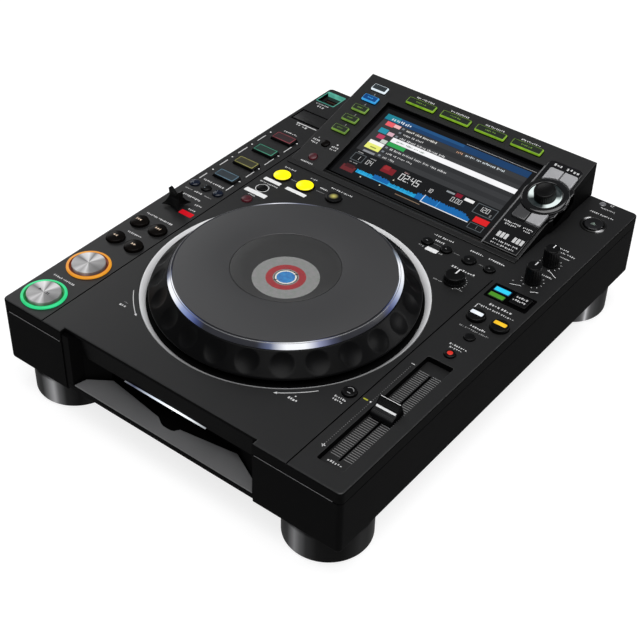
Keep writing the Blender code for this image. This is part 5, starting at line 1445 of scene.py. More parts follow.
# backdrop, header, list
pane("0b0b0c", -71.8, 76.4, 6.4, 88.0, 0)
pane("353638", -70.5, 76.2, 38.6, 80.0, 1)
for k, sv in enumerate((77.4, 72.2, 67.0, 57.0, 51.8, 46.6, 41.4)):
    if k % 2:
        pane("2c2d2f", -49.0, 76.2, sv - 2.5, sv + 2.5, 2)
pane("173c66", -70.5, 76.2, 80.2, 87.4, 1)
pane("1f5080", -70.5, 10.0, 84.2, 87.4, 2)
pane("1b7f92", -70.5, -56.0, 81.0, 87.4, 3)
text_row("dfe8f0", -63.5, 83.6, [2, 4, 3], 3.4, 3, 0.8)
text_row("d8d6d0", -44.0, 77.5, [5, 4, 9], 2.6)
text_row("d0a080", 8.0, 77.5, [4], 2.6)
text_row("c8d0d4", 17.0, 77.5, [6, 3, 8, 5], 2.6)
text_row("c4c4c4", -44.0, 72.2, [5, 2, 5], 2.5)
text_row("cccccc", -44.0, 67.0, [4, 6, 6, 7, 4], 2.5)
pane("f2f2f4", -49.5, 76.4, 59.4, 65.0, 4)
text_row("7c8a80", -44.0, 62.2, [6, 5, 3, 4], 2.3, 5)
pane("2fa050", -50.0, -32.0, 54.6, 59.0, 4)
text_row("c4c4c4", -44.0, 52.0, [2, 5, 7, 5, 4, 4, 6], 2.5)
text_row("c0c0c0", -44.0, 46.6, [4, 2, 5, 4], 2.5)
text_row("b8b8b8", -44.0, 41.3, [3, 4], 2.5)
for sv in (77.5, 72.2, 67.0, 52.0, 46.6, 41.3):
    pane("7a8088", -49.0, -46.6, sv - 1.0, sv + 1.0, 3)
# thumbnail column: plain coloured tiles
pane("e86068", -65.5, -57.5, 74.4, 79.6, 3)
pane("f0b8b8", -57.3, -50.8, 75.4, 79.2, 3)
pane("2490a8", -66.2, -57.8, 64.6, 70.4, 3)
pane("d8b0bc", -57.0, -51.0, 64.8, 69.0, 3)
pane("b83c5c", -63.5, -56.5, 58.0, 63.0, 3)
pane("c8d0c8", -57.0, -51.0, 54.6, 58.8, 3)
pane("f4f4f0", -65.8, -51.0, 50.0, 54.0, 3)
pane("e8ec78", -66.0, -51.0, 43.6, 50.0, 3)
pane("9aa04a", -61.0, -55.0, 45.6, 47.0, 4)
pane("8a8c90", -64.0, -52.0, 38.8, 41.0, 3)
# lower status area
pane("101113", -71.0, 76.2, 6.6, 38.4, 1)
for xa, xb, sa, sb in ((-68.0, -56.2, 34.2, 34.8), (-68.0, -56.2, 25.6, 26.2), (-68.0, -67.4, 25.6, 34.8), (-56.8, -56.2, 25.6, 34.8),
                       (56.5, 76.0, 36.4, 37.0), (56.5, 76.0, 25.8, 26.4), (56.5, 57.1, 25.8, 37.0), (75.4, 76.0, 25.8, 37.0),
                       (62.0, 75.5, 9.6, 10.1), (62.0, 75.5, 15.6, 16.1), (62.0, 62.5, 9.6, 16.1), (75.0, 75.5, 9.6, 16.1)):
    pane("5a6064", xa, xb, sa, sb, 2)
text_row("b8b8b8", -66.5, 33.0 + 3.4, [6], 1.6)
text_row("b0b0b0", -52.0, 34.6, [6], 1.6)
text_row("a0a0a0", -66.5, 23.6, [3, 5], 1.4)
text_row("b09090", -17.0, 35.4, [5], 1.6)
pane("7a1c24", -37.0, -24.0, 26.6, 33.6, 2)
pane("96282c", -36.0, -30.0, 30.0, 34.6, 3)
pane("8e9498", 26.0, 34.0, 34.2, 36.0, 2)
pane("7c1228", 35.0, 41.0, 33.4, 37.6, 2)
pane("e8e8e8", 44.0, 53.0, 33.4, 36.6, 2)
pane("d81c20", 62.5, 76.0, 17.4, 23.4, 2)
pane("64262a", -69.0, -56.0, 12.2, 18.8, 2)
pane("421a1e", -67.0, -58.0, 16.6, 20.6, 3)
# wave display
bars = bmesh.new()
x = -54.5
while x < 59.5:
    far = x > 6.0
    mid = -38.0 < x < -22.0
    level = 7.4 if far and x < 52 else (6.6 if mid else 4.4)
    if x > 52:
        level = 7.4 - (x - 52) * 0.55
    level *= 0.78 + 0.22 * RNG.random()
    col = "1264a8" if far or mid else RNG.choice(("1a98cc", "22a4d8", "1888bc"))
    pane(col, x, x + 0.78, 15.0, 15.0 + level, 2)
    x += 0.8
bars.free()
pane("46b0dc", -52.0, 5.0, 15.4, 16.0, 3)
pane("e4e8ec", 13.0, 60.0, 14.0, 14.8, 4)
pane("e4e8ec", 13.0, 13.7, 14.0, 22.6, 4)
pane("3c94d8", 27.6, 28.2, 15.0, 22.4, 4)
for xa, ya in ((-47.0, 12.6), (-27.0, 12.8), (-20.0, 23.4)):
    poly("e0e0c8", [(xa - 0.8, ya - 0.7), (xa + 0.8, ya - 0.7), (xa, ya + 0.8)], 3)
pane("806c58", -10.0, 15.0, 10.6, 11.4, 2)


def screen_digits(text, x, s, size, col, lift=3):
    """Plain seven-segment style numerals."""
    seg = {"0": "abcdef", "1": "bc", "2": "abged", "3": "abgcd", "4": "fgbc", "5": "afgcd", "6": "afgedc", "7": "abc", "8": "abcdefg", "9": "abcdfg", "-": "g"}
    w, t = size * 0.50, size * 0.09
    for ch in text:
        if ch in ".:":
            pane(col, x, x + t, s, s + t, lift)
            if ch == ":":
                pane(col, x, x + t, s + size * 0.6, s + size * 0.6 + t, lift)
            x += t * 2.2
            continue
        if ch == " ":
            x += w * 0.6
            continue
        for g in seg[ch]:
            box = {"a": (0, w, size - t, size), "d": (0, w, 0, t), "g": (0, w, size / 2 - t / 2, size / 2 + t / 2),
                   "f": (0, t, size / 2, size), "b": (w - t, w, size / 2, size), "e": (0, t, 0, size / 2), "c": (w - t, w, 0, size / 2)}[g]
            pane(col, x + box[0], x + box[1], s + box[2], s + box[3], lift)
        x += w + size * 0.16
    return x


screen_digits("1", -62.8, 27.6, 4.6, "c8c8c8")
screen_digits("04", -53.0, 27.0, 5.2, "c8c8c8")
screen_digits("02:45", -18.0, 26.0, 7.4, "dcdcdc")
screen_digits(".10", 10.4, 26.4, 4.2, "dcdcdc")
screen_digits("0.00", 34.0, 27.0, 5.0, "c8c8c8")
screen_digits("120", 60.2, 29.6, 5.2, "c8c8c8")
screen_digits("0", 72.0, 27.4, 2.6, "a8a8a8")
screen_digits("1", 68.0, 11.0, 3.6, "808080")
for col, b in SCREEN.items():
    m = glow("screen_" + col, lin(col), 1.0, tuple(cc * 0.93 for cc in lin(col)), rough=0.2, scale=60.0, body=0.1)
    put("screen_" + col, b, [m], "chassis", SLOPE_AT, SLOPE)
# painted highlight: thin bright strip on the glass's rear right edge (the painted reflection beside the selector plate
# is drawn with the selector group)
bm = bmesh.new()
prism(bm, rect(8.0, 77.0, 90.9, 91.6), SN, SN + 0.1)
put("display_rear_painted_highlight", bm, [M["ink_dim"]], "chassis", SLOPE_AT, SLOPE)

# ================================================================ selector group
PLATE = [(82.2, 1.4), (113.6, 1.4), (113.6, 46.0), (116.4, 48.6), (118.2, 51.2), (118.2, 80.8), (116.4, 83.4), (113.6, 86.0), (113.6, 102.0),
         (112.6, 104.6), (110.0, 106.0), (86.0, 106.0), (83.4, 104.8), (82.2, 102.0)]
bm = bmesh.new()
sel_holes = [{"pts": segment_key(sd, en, HOLE), "rows": [(0.15, 2.0), (0.0, 1.85), (0.0, 0.3)]} for sd in (-1, 1) for en in (-1, 1)]
sel_holes.append({"pts": circle(12.6, 96, SEL_X, SEL_S), "rows": [(7.4, 2.0), (7.4, 2.0), (0.0, 2.0), (0.0, 0.3)]})
sel_holes[-1]["rows"] = [(0.0, 2.0), (0.0, 0.3)]
plate(bm, PLATE, [(-0.5, 2.0), (-0.2, 1.9), (-0.05, 1.75), (0.0, 1.5), (0.0, 0.3)], sel_holes, 0.3)
put("selector_gloss_plate", bm, [M["gloss"]], "chassis", SLOPE_AT, SLOPE, replaces=["selector_plate"])
bm = bmesh.new()
tower = [(12.9, 0.5), (20.0, 0.5), (20.0, 2.4)] + arc(17.6, 2.4, 2.4, 0, 78, 8) + [(16.6, 4.95), (14.9, 5.1), (14.3, 4.95), (13.95, 4.5), (12.9, 2.5)]
turned(bm, tower, 128, closed=True)
put("selector_tower", bm, [M["gloss"]], "chassis", on_slope(SEL_X, SEL_S), SLOPE, smooth=40)
M["dish"] = glow("selector_dish_light", lin("dceae8"), 1.0, lin("b4cccc"), scale=60.0)
# dish light painted by angle: emission in two bright crescents with dark between them, painted light and shade
mat, nt, bsdf, co = base("selector_dish_painted_crescents")
dist, ang, mth = radial(nt, co)
wv = nt.nodes.new("ShaderNodeMath")
wv.operation = "COSINE"
nt.links.new(mth("MULTIPLY", mth("ADD", ang, value=0.35), value=2.0), wv.inputs[0])
nt.links.new(ramp(nt, spread(nt, wv.outputs["Value"], 0.0, 1.0, -1.0, 1.0), lin("10181a"), lin("e4f0ee"), 0.35, 0.75), bsdf.inputs["Emission Color"])
bsdf.inputs["Emission Strength"].default_value = 1.0
nt.links.new(ramp(nt, noise(nt, co, 90.0), (0.02, 0.025, 0.025), (0.05, 0.055, 0.055)), bsdf.inputs["Base Color"])
bsdf.inputs["Roughness"].default_value = 0.2
M["crescent"] = mat
bm = bmesh.new()
turned(bm, [(3.3, 2.05), (12.7, 2.05), (13.75, 4.35), (13.55, 4.4), (12.5, 2.28), (3.3, 2.22)], 96, closed=True)
put("selector_dish", bm, [M["crescent"]], "chassis", on_slope(SEL_X, SEL_S), SLOPE, smooth=40)
bm = bmesh.new()
turned(bm, [(3.0, -13.9), (3.0, 2.7), (8.4, 2.7), (9.0, 3.1), (9.15, 3.5)], 96)
fluted(bm, [(9.14, 3.4), (9.1, 3.9), (9.1, 6.0), (9.1, 10.0), (9.0, 10.7), (8.7, 11.3), (8.2, 11.7), (7.6, 11.85), (6.6, 11.7), (5.8, 11.35), (0.3, 11.2)], 36, 0.28, 6, 3.8, 10.2)
put("selector_knob_body", bm, [M["key"]], "selector_knob", on_slope(SEL_X, SEL_S), SLOPE, smooth=40, replaces=["selector_knob"])

# quarter keys
# quarter keys: three take a light grey that paints the sheen they catch; the front-left key keeps the dark grey
M["seg_lit"] = surface("segment_key_grey_painted_sheen", (0.40, 0.40, 0.41), 0.22, vary=0.08, bump=0.02, coat=0.3)
M["seg_dark"] = surface("segment_key_dark", (0.055, 0.055, 0.057), 0.2, vary=0.1, bump=0.02, coat=0.3)
bm = bmesh.new()
prism(bm, [(87.0, 36.5), (109.8, 36.5), (109.8, 95.0), (87.0, 95.0), (87.0, 89.5), (105.6, 89.5), (105.6, 42.5), (87.0, 42.5)], -11.9, -10.25)
for sd in (-1, 1):
    for en in (-1, 1):
        pts = segment_key(sd, en)
        mi = 1 if (sd == -1 and en == -1) else 0
        soft_prism(bm, pts, -10.6, 4.0, 0.5, 3, mat=mi)
put("segment_key_caps", bm, [M["seg_lit"], M["seg_dark"]], "segment_keys", SLOPE_AT, SLOPE, smooth=40, replaces=["segment_keys"])

# ================================================================ keys on the slope
M["key_green"] = glow("key_green_lit", lin("84ac44"), 0.7, lin("648c30"), scale=200.0, body=0.08)
M["key_lime"] = glow("key_lime_lit", lin("94c428"), 0.75, lin("6ea01c"), scale=200.0, body=0.08)
M["key_blue"] = glow("key_blue_lit", lin("3fb0f0"), 0.9, lin("2a94dc"), scale=200.0, body=0.08)
M["key_white"] = glow("key_white_lit", lin("e4eef4"), 1.0, lin("ccd8e0"), scale=200.0)
M["top_green"] = glow("key_top_green", lin("142808"), 0.5, lin("0c1c05"), rough=0.4, scale=200.0, body=0.08)
M["top_blue"] = glow("key_top_blue", lin("0c4a8c"), 0.8, lin("083a70"), rough=0.2, scale=200.0)
M["top_white"] = glow("key_top_grey", lin("3c4448"), 0.6, lin("2c3236"), rough=0.2, scale=200.0)


def lit_key(bm, cx, cs, w, d, body_mat, h=2.4):
    rings = [[(px, ps, z) for px, ps in centred(cx, cs, w / 2 - 0.06, d / 2 - 0.06, 1.0, 4)] for z in (-10.6, 1.2)]
    loft(bm, rings, mat=0)
    rings = []
    for inset, z in ((0.0, 0.8), (0.0, 1.55), (0.22, 2.0), (0.5, 2.28), (0.75, h - 0.03)):
        rings.append([(px, ps, z) for px, ps in centred(cx, cs, w / 2 - inset, d / 2 - inset, 1.0, 4)])
    loft(bm, rings, mat=body_mat)


mats = [M["key"], M["key_white"], M["key_blue"], M["key_green"]]
bm = bmesh.new()
prism(bm, rect(-98.7, -91.6, 46.7, 109.9), -11.55, -9.85)
for k, (x, s) in enumerate(KEYS_SOURCE):
    lit_key(bm, x, s, 15.2, 7.6, (1, 2, 3, 3, 3)[k])
put("source_key_caps", bm, mats, "source_keys", SLOPE_AT, SLOPE, smooth=30, replaces=["source_keys"])
for k, (x, s) in enumerate(KEYS_SOURCE):
    bm = bmesh.new()
    prism(bm, centred(x, s + 0.15, 6.75, 2.85, 0.6, 3), 2.34, 2.39)
    put("source_key_top_%d" % (k + 1), bm, [M[("top_white", "top_blue", "top_green", "top_green", "top_green")[k]]], "source_keys", SLOPE_AT, SLOPE)
    MARKS = {"ink": bmesh.new()}
    words("ink", x - 2.9, x + 2.9, s - 0.4, s + 1.0, [3], store=MARKS, z=2.395)
    put("source_key_mark_%d" % (k + 1), MARKS["ink"], [M[("ink_dark", "key_blue", "key_green", "key_green", "key_green")[k]]], "source_keys", SLOPE_AT, SLOPE)
bm = bmesh.new()
prism(bm, rect(-53.3, 60.2, 105.7, 110.7), -11.55, -9.85)
for x, s in KEYS_BROWSE:
    lit_key(bm, x, s, 29.2, 7.8, 1)
put("browse_key_caps", bm, [M["key"], M["key_lime"]], "browse_keys", SLOPE_AT, SLOPE, smooth=30, replaces=["browse_keys"])
for k, (x, s) in enumerate(KEYS_BROWSE):
    bm = bmesh.new()
    prism(bm, centred(x, s + 0.15, 13.75, 2.95, 0.6, 3), 2.34, 2.39)
    put("browse_key_top_%d" % (k + 1), bm, [M["top_green"]], "browse_keys", SLOPE_AT, SLOPE)
    MARKS = {"ink": bmesh.new()}
    words("ink", x - 5.4, x + 5.4, s - 0.5, s + 1.2, [5, 3], store=MARKS, z=2.395)
    put("browse_key_mark_%d" % (k + 1), MARKS["ink"], [M["key_green"]], "browse_keys", SLOPE_AT, SLOPE)
for nm, (x, s, r) in SLOPE_BUTTONS.items():
    bm = bmesh.new()
    turned(bm, dome(r, 1.7, z0=-7.0, crown=0.5, edge=0.5), 40)
    put(nm + "_dome", bm, [M["reflect" if nm == "time_mode_button" else "dark_red"]], nm, on_slope(x, s), SLOPE, smooth=35, replaces=[nm])

# printed marks on the slope
SP = {"ink": bmesh.new(), "ink_dim": bmesh.new(), "ink_bright": bmesh.new()}
for xa, xb in ((-110.5, -102.8), (-90.0, -82.8)):
    words("ink", xa, xb, 28.2, 30.2, [3], store=SP, z=0.0)
    words("ink", xa, xb, 25.0, 27.0, [4], store=SP, z=0.0)
dot("ink", -106.6, 32.6, 0.5, 0.0, store=SP)
prism(SP["ink"], [(-87.6, 33.2), (-86.4, 31.4), (-85.2, 33.2)], -0.02, 0.05)
words("ink", -104.0, -91.2, 2.2, 4.0, [6], store=SP, z=0.0)
for s0 in (55.2, 69.6, 84.4, 98.9):
    bar("ink_dim", -95.6, -94.9, s0, s0 + 2.4, 0.2, 0.0, store=SP)
for x, s in KEYS_BROWSE:
    words("ink", x - 9.5, x + 9.5, 114.6, 116.6, [2, 6], store=SP, z=0.0)
for kind, b in SP.items():
    if len(b.verts):
        put("slope_print_" + kind, b, [M[kind]], "chassis", SLOPE_AT, SLOPE)
    else:
        b.free()
GP = {"ink": bmesh.new(), "ink_bright": bmesh.new()}
words("ink", 88.0, 96.5, 100.2, 103.6, [3], store=GP, z=2.0)
words("ink", 100.0, 112.4, 100.2, 103.6, [6], store=GP, z=2.0)
words("ink", 85.0, 100.6, 28.6, 30.4, [6], store=GP, z=2.0)
words("ink", 87.6, 98.0, 25.8, 27.6, [4], store=GP, z=2.0)
words("ink", 102.8, 112.4, 28.6, 30.4, [4], store=GP, z=2.0)
words("ink", 104.6, 111.0, 25.8, 27.6, [3], store=GP, z=2.0)
for xa in (88.0, 102.5):
    for k in range(3):
        bar("ink", xa + k * 3.4, xa + k * 3.4 + 2.6, 11.8, 17.6, 0.4, 2.0, store=GP)
words("ink", 88.0, 111.0, 7.2, 9.0, [3, 3, 4, 3], store=GP, z=2.0)
words("ink", 88.0, 110.0, 3.6, 5.4, [3, 4, 5], store=GP, z=2.0)
put("selector_print", GP["ink"], [M["ink"]], "chassis", SLOPE_AT, SLOPE)
GP["ink_bright"].free()
# painted reflection: light strip along the border between the glass and the selector plate
bm = bmesh.new()
prism(bm, rect(80.8, 81.9, 1.4, 98.0), 0.0, 0.5)
put("selector_edge_painted_reflection", bm, [M["edge_line"]], "chassis", SLOPE_AT, SLOPE)

# ================================================================ disc mouth
UNDER_GAP = UNDER - 0.3
BX0, BX1, BZ0 = MOUTH_X0 + 0.3, MOUTH_X1 - 0.3, CASE_Z0 + 3.3
JAW = [(-2.0, 34.3), (20.0, 47.1), (20.0, 58.0), (8.4, 64.0), (5.7, 90.0), (-2.0, 90.0)]
bm = bmesh.new()
prism(bm, rect(BX0, BX1, -HY + 0.8, -HY + 24.0), BZ0, UNDER_GAP)
bez = put("mouth_bezel", bm, [M["jaw"]], "chassis", replaces=["front_bezel"])
bm = bmesh.new()
side_prism(bm, [(-HY + t, z) for t, z in JAW], BX0 - 5, BX1 + 5)
carve(bez, bm)
bm = bmesh.new()
prism(bm, [(x, -HY + t) for x, t in ((BX0, 0.8), (-91.4, 1.0), (-85.3, 8.2), (-65.2, 16.8), (-65.2, 22.5), (BX0, 22.5))], BZ0 + 1.0, UNDER_GAP - 0.5)
prism(bm, [(x, -HY + t) for x, t in ((BX1, 0.8), (BX1, 22.5), (59.2, 22.5), (59.2, 16.8), (79.3, 8.2), (84.3, 1.0))], BZ0 + 1.0, UNDER_GAP - 0.5)
carve(bez, bm, operation="UNION")
bm = bmesh.new()
prism(bm, rect(-65.0, 59.0, -HY + 17.5, -HY + 30), 50.5, 57.0)
carve(bez, bm)
# felt lips of the slot
bm = bmesh.new()
prism(bm, rect(-64.0, 58.0, -HY + 20.2, -HY + 20.9), 50.7, 51.6)
prism(bm, rect(-64.0, 58.0, -HY + 20.2, -HY + 20.9), 55.9, 56.8)
put("slot_brushes", bm, [M["rubber"]], "chassis")
# grey lip
LIP = [(-90.0, 1.0), (83.6, 1.0), (78.0, 8.0), (57.5, 16.3), (7.6, 11.1), (5.6, 9.6), (4.2, 8.5), (1.6, 7.75), (-2.3, 7.6), (-6.2, 7.75), (-8.8, 8.5), (-10.6, 9.6), (-13.4, 11.1),
       (-63.6, 16.3), (-84.2, 8.0)]
bm = bmesh.new()
rows = []
for d, lift in ((0.0, -0.6), (0.0, 0.25), (-0.25, 0.55), (-0.5, 0.6)):
    rows.append([(x, -HY + max(1.0, t), 36.4 + 0.58 * max(1.0, t) + lift) for x, t in grow(LIP, d)])
loft(bm, rows)
put("slot_lip_tongue", bm, [M["lip"]], "chassis", smooth=30, replaces=["slot_lip"])
# slot highlight: a slim lens-shaped glowing bar, a painted highlight along the slot's upper jaw
mat, nt, bsdf, co = base("slot_jaw_painted_highlight")
sep = nt.nodes.new("ShaderNodeSeparateXYZ")
nt.links.new(co, sep.inputs["Vector"])
ab = nt.nodes.new("ShaderNodeMath")
ab.operation = "ABSOLUTE"
nt.links.new(sep.outputs["X"], ab.inputs[0])
r_ = nt.nodes.new("ShaderNodeValToRGB")
for k, (pos, colr) in enumerate(((0.0, "5a5c60"), (0.12, "3c4258"), (0.36, "b4bcc8"), (0.62, "f0f6f8"), (0.84, "c4c8cc"), (1.0, "7c8084"))):
    e = r_.color_ramp.elements[0] if k == 0 else (r_.color_ramp.elements[1] if k == 1 else r_.color_ramp.elements.new(pos))
    e.position = pos
    e.color = (*lin(colr), 1.0)
nt.links.new(spread(nt, sep.outputs["X"], 0.0, 1.0, -0.039, 0.039), r_.inputs["Fac"])
nt.links.new(r_.outputs["Color"], bsdf.inputs["Emission Color"])
bsdf.inputs["Emission Strength"].default_value = 1.5
nt.links.new(ramp(nt, noise(nt, co, 60.0), (0.02, 0.02, 0.024), (0.04, 0.042, 0.046)), bsdf.inputs["Base Color"])
bsdf.inputs["Roughness"].default_value = 0.2
M["slot_jaw_painted_highlight"] = mat
bm = bmesh.new()
prof = []
n = 28
for i in range(n + 1):
    t = -1 + 2 * i / n
    prof.append((39.0 * t, 0.09 + 0.50 * max(0.0, 1 - ((t - 0.14) / 1.14) ** 2) ** 2.0))
loft(bm, [[(x, -0.9, -w * 0.6), (x, -0.9, w * 0.6), (x, -0.2, w), (x, 0.9, w), (x, 0.9, -w), (x, -0.2, -w)] for x, w in prof])
put("slot_bar_painted_highlight", bm, [M["slot_jaw_painted_highlight"]], "chassis", (-3.0, -HY + 8.0, 64.2), smooth=50)

# ================================================================ rear panel
bm = bmesh.new()
prism(bm, rect(-152.0, 152.0, 196.4, HY - 3.3), 33.5, 73.5)
rear = put("rear_panel_sheet", bm, [M["case"]], "chassis", replaces=["rear_panel"])
bm = bmesh.new()
prism(bm, rect(-137.0, -103.0, 178.0, 198.0), 40.0, 68.0)
prism(bm, rect(24.0, 66.0, 182.0, 198.0), 43.0, 65.0)
carve(rear, bm, operation="UNION")


def wall_loop(pts, y):
    return [(x, y, z) for x, z in pts]


bm = bmesh.new()
for x0, x1, z0, z1, ch in ((-133.6, -106.4, 44.0, 64.0, 4.0),):
    pts = [(x0 + ch, z0), (x1 - ch, z0), (x1, z0 + ch), (x1, z1), (x0, z1), (x0, z0 + ch)]
    loft(bm, [wall_loop(pts, 181.0), wall_loop(pts, 205.0)])
prism(bm, rect(28.0, 44.0, 185.0, 205.0), 47.5, 61.0)
prism(bm, rect(50.0, 62.2, 185.0, 205.0), 48.8, 59.8)
prism(bm, rect(99.0, 121.0, 190.0, 205.0), 47.0, 61.0)
carve(rear, bm)
# sockets
bm = bmesh.new()
for px, pz in ((-125.5, 52.0), (-114.5, 52.0), (-120.0, 57.0)):
    ring = [(px + a, pz + b) for a, b in rounded(-1.1, 1.1, -2.4, 2.4, 0.6, 3)]
    loft(bm, [wall_loop(ring, 181.0), wall_loop(ring, 193.5), wall_loop([(px + (a - px) * 0.7, pz + (b - pz) * 0.8) for a, b in ring], 194.5)])
put("mains_inlet_pins", bm, [M["nickel"]], "chassis", smooth=35)
bm = bmesh.new()
a = [(-135.2, 42.4), (-104.8, 42.4), (-104.8, 65.6), (-135.2, 65.6)]
b = [(-133.6, 44.0), (-106.4, 44.0), (-106.4, 64.0), (-133.6, 64.0)]
loft(bm, [wall_loop(a, 199.2), wall_loop(a, 200.2), wall_loop(b, 200.2), wall_loop(b, 199.2)], closed=True)
put("mains_inlet_frame", bm, [M["key"]], "chassis")
bm = bmesh.new()
for k in range(8):
    prism(bm, rect(31.6 + k * 1.2, 32.2 + k * 1.2, 186.0, 196.5), 59.2, 59.5)
put("network_contacts", bm, [M["gold"]], "chassis")
bm = bmesh.new()
a = [(27.4, 46.9), (44.6, 46.9), (44.6, 61.6), (27.4, 61.6)]
b = [(28.0, 47.5), (44.0, 47.5), (44.0, 61.0), (28.0, 61.0)]
loft(bm, [wall_loop(a, 199.2), wall_loop(a, 199.7), wall_loop(b, 199.7), wall_loop(b, 199.2)], closed=True)
a = [(49.3, 48.1), (62.9, 48.1), (62.9, 60.5), (49.3, 60.5)]
b = [(50.0, 48.8), (62.2, 48.8), (62.2, 59.8), (50.0, 59.8)]
loft(bm, [wall_loop(a, 199.2), wall_loop(a, 199.7), wall_loop(b, 199.7), wall_loop(b, 199.2)], closed=True)
put("data_socket_shells", bm, [M["nickel"]], "chassis")
bm = bmesh.new()
prism(bm, rect(53.0, 59.2, 185.0, 197.0), 52.6, 56.0)
put("data_socket_core", bm, [M["key"]], "chassis")
SHELL = {"white": (0.75, 0.75, 0.74), "red": (0.5, 0.02, 0.02), "orange": (0.75, 0.25, 0.02)}
for nm, x, z in (("white", -78.0, 60.0), ("red", -78.0, 47.0), ("orange", -54.0, 54.0)):
    m = surface("socket_insert_" + nm, SHELL[nm], 0.35, vary=0.05, bump=0.03)
    bm = bmesh.new()
    n = 40
    rows = [(2.1, 199.3), (4.2, 199.2), (4.6, 199.2), (4.6, 201.9), (4.4, 202.25), (3.4, 202.25), (3.1, 201.9), (3.1, 200.0)]
    loft(bm, [[(x + r * math.cos(2 * math.pi * i / n), y, z + r * math.sin(2 * math.pi * i / n)) for i in range(n)] for r, y in rows], closed=False, cap0=False, cap1=False)
    # inner insert closes the shell
    ring0 = [(x + 2.1 * math.cos(2 * math.pi * i / n), 199.3, z + 2.1 * math.sin(2 * math.pi * i / n)) for i in range(n)]
    bm.free()
    bm = bmesh.new()
    loft(bm, [[(x + r * math.cos(2 * math.pi * i / n), y, z + r * math.sin(2 * math.pi * i / n)) for i in range(n)]
              for r, y in [(3.3, 199.25), (4.6, 199.25), (4.6, 201.9), (4.4, 202.25), (3.5, 202.25), (3.3, 201.9)]], closed=True)
    put("audio_socket_shell_" + nm, bm, [M["gold"]], "chassis", smooth=35)
    bm = bmesh.new()
    loft(bm, [[(x + r * math.cos(2 * math.pi * i / n), y, z + r * math.sin(2 * math.pi * i / n)) for i in range(n)]
              for r, y in [(1.6, 199.25), (3.3, 199.25), (3.3, 201.4), (2.4, 201.6), (1.6, 201.4)]], closed=True)
    put("audio_socket_insert_" + nm, bm, [m], "chassis", smooth=35)
# rear print, screws
RP = bmesh.new()


def rear_bar(x0, x1, z0, z1):
    loft(RP, [[(x0, 199.18, z0), (x1, 199.18, z0), (x1, 199.18, z1), (x0, 199.18, z1)], [(x0, 199.25, z0), (x1, 199.25, z0), (x1, 199.25, z1), (x0, 199.25, z1)]])


for x0, x1, z in ((-130, -110, 69.2), (30, 42, 64.0), (50, 62, 63.0), (103, 117, 64.0), (-84, -72, 66.8), (-84, -72, 40.0), (-60, -48, 61.4)):
    x = x0
    while x < x1 - 1.0:
        rear_bar(x, x + 1.3, z, z + 1.7)
        x += 1.7
rear_bar(124.5, 125.3, 56.8, 60.4)
put("rear_print", RP, [M["ink"]], "chassis")
bm = bmesh.new()
for x, z in ((-147, 38.5), (147, 38.5), (-147, 69), (147, 69), (0, 38.5), (-92, 38.5), (84, 38.5), (0, 69)):
    n = 28
    loft(bm, [[(x + r * math.cos(2 * math.pi * i / n), y, z + r * math.sin(2 * math.pi * i / n)) for i in range(n)]
              for r, y in [(2.9, 199.1), (2.9, 199.7), (2.5, 200.15), (1.5, 200.3), (1.2, 199.7)]])
put("rear_screws", bm, [M["screw"]], "chassis", smooth=35)
# power rocker
bm = bmesh.new()
pts = [(-6.0, -5.0), (0.6, -6.2)]
top = []
for k in range(9):
    t = k / 8
    top.append((0.6 + 2.0 * t + 0.9 * (t * t - t), -6.2 + 12.4 * t))
prof = [(-6.0, -5.0)] + top + [(-6.0, 5.0)]
side_prism(bm, prof, -10.6, 10.6)
put("power_rocker", bm, [M["key"]], "power_switch", (110.0, 199.4, 54.0), smooth=30, replaces=["power_switch"])
bm = bmesh.new()
n = 24
ringo = [(0.0 + 1.5 * math.cos(2 * math.pi * i / n), 3.9 + 1.5 * math.sin(2 * math.pi * i / n)) for i in range(n)]
ringi = [(0.0 + 1.1 * math.cos(2 * math.pi * i / n), 3.9 + 1.1 * math.sin(2 * math.pi * i / n)) for i in range(n)]


def rocker_y(z):
    t = (z + 6.2) / 12.4
    return 0.6 + 2.0 * t + 0.9 * (t * t - t)


loft(bm, [[(x, rocker_y(z) - 0.05, z) for x, z in ringi], [(x, rocker_y(z) - 0.05, z) for x, z in ringo],
          [(x, rocker_y(z) + 0.03, z) for x, z in ringo], [(x, rocker_y(z) + 0.03, z) for x, z in ringi]], closed=True)
loft(bm, [[(-0.25, rocker_y(z) - 0.05, z), (0.25, rocker_y(z) - 0.05, z), (0.25, rocker_y(z) + 0.03, z), (-0.25, rocker_y(z) + 0.03, z)] for z in (-5.2, -2.4)])
put("power_rocker_marks", bm, [M["ink"]], "power_switch", (110.0, 199.4, 54.0))

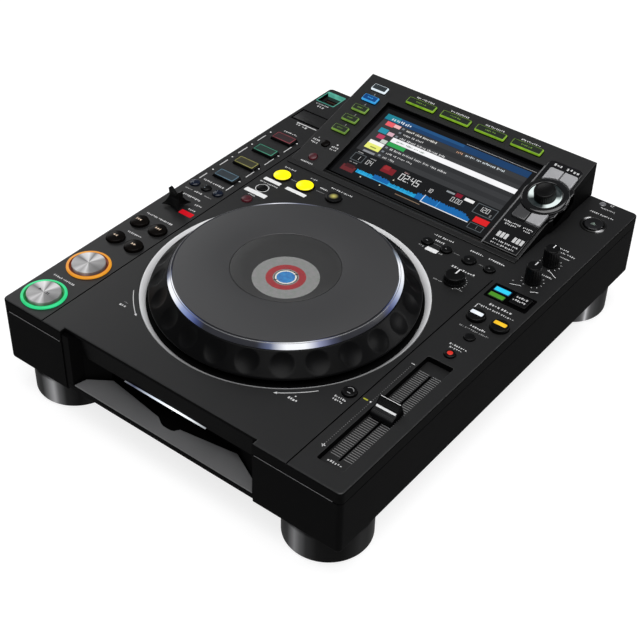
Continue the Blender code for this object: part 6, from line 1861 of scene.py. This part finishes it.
# ================================================================ carried-over CAD nodes
for nm, mt in (("main_board", "board"), ("drive_frame", "steel"), ("jog_base", "case"), ("jog_hub", "key"), ("disc_spindle", "steel"), ("optical_pickup", "key")):
    ob = NODES[nm]
    ob.data.materials.clear()
    ob.data.materials.append(M[mt])

# ================================================================ stage
mat, nt, bsdf, co = base("pale_floor")
nt.links.new(ramp(nt, noise(nt, co, 3.0, 2.0), (0.30, 0.30, 0.30), (0.32, 0.32, 0.32)), bsdf.inputs["Base Color"])
bsdf.inputs["Emission Color"].default_value = (1.0, 1.0, 1.0, 1.0)
bsdf.inputs["Emission Strength"].default_value = 0.80
bsdf.inputs["Roughness"].default_value = 0.6
bsdf.inputs["Specular IOR Level"].default_value = 0.2
bm = bmesh.new()
loft(bm, [[(x * 1000, y * 1000, z) for x, y in rect(-6, 6, -6, 6)] for z in (-20.0, -0.05)])
bmesh.ops.recalc_face_normals(bm, faces=bm.faces)
for v in bm.verts:
    v.co *= MM
me = bpy.data.meshes.new("floor")
bm.to_mesh(me)
bm.free()
me.materials.append(mat)
floor = bpy.data.objects.new("floor", me)
SCENE.collection.objects.link(floor)

world = bpy.data.worlds.new("studio")
world.use_nodes = True
world.node_tree.nodes["Background"].inputs["Color"].default_value = (0.93, 0.95, 1.0, 1.0)
world.node_tree.nodes["Background"].inputs["Strength"].default_value = 0.14
SCENE.world = world
SCENE.view_settings.view_transform = "Standard"
SCENE.view_settings.look = "None"


def softbox(name, at, look_at, size_x, size_y, power, color=(1, 1, 1)):
    data = bpy.data.lights.new(name, "AREA")
    data.shape = "RECTANGLE"
    data.size = size_x
    data.size_y = size_y
    data.energy = power
    data.color = color
    ob = bpy.data.objects.new(name, data)
    SCENE.collection.objects.link(ob)
    ob.location = at
    d = Vector(look_at) - Vector(at)
    ob.rotation_euler = d.to_track_quat("-Z", "Y").to_euler()
    return ob


softbox("overhead_softbox", (0.5, -0.4, 3.0), (0.1, -0.1, 0.0), 3.0, 3.0, 92.0)
softbox("rear_left_softbox", (-2.2, 0.95, 1.25), (-0.1, 0.0, 0.08), 1.5, 0.9, 8.7)
softbox("rear_right_softbox", (1.5, 1.5, 0.95), (0.0, -0.05, 0.09), 0.9, 0.6, 8.0)

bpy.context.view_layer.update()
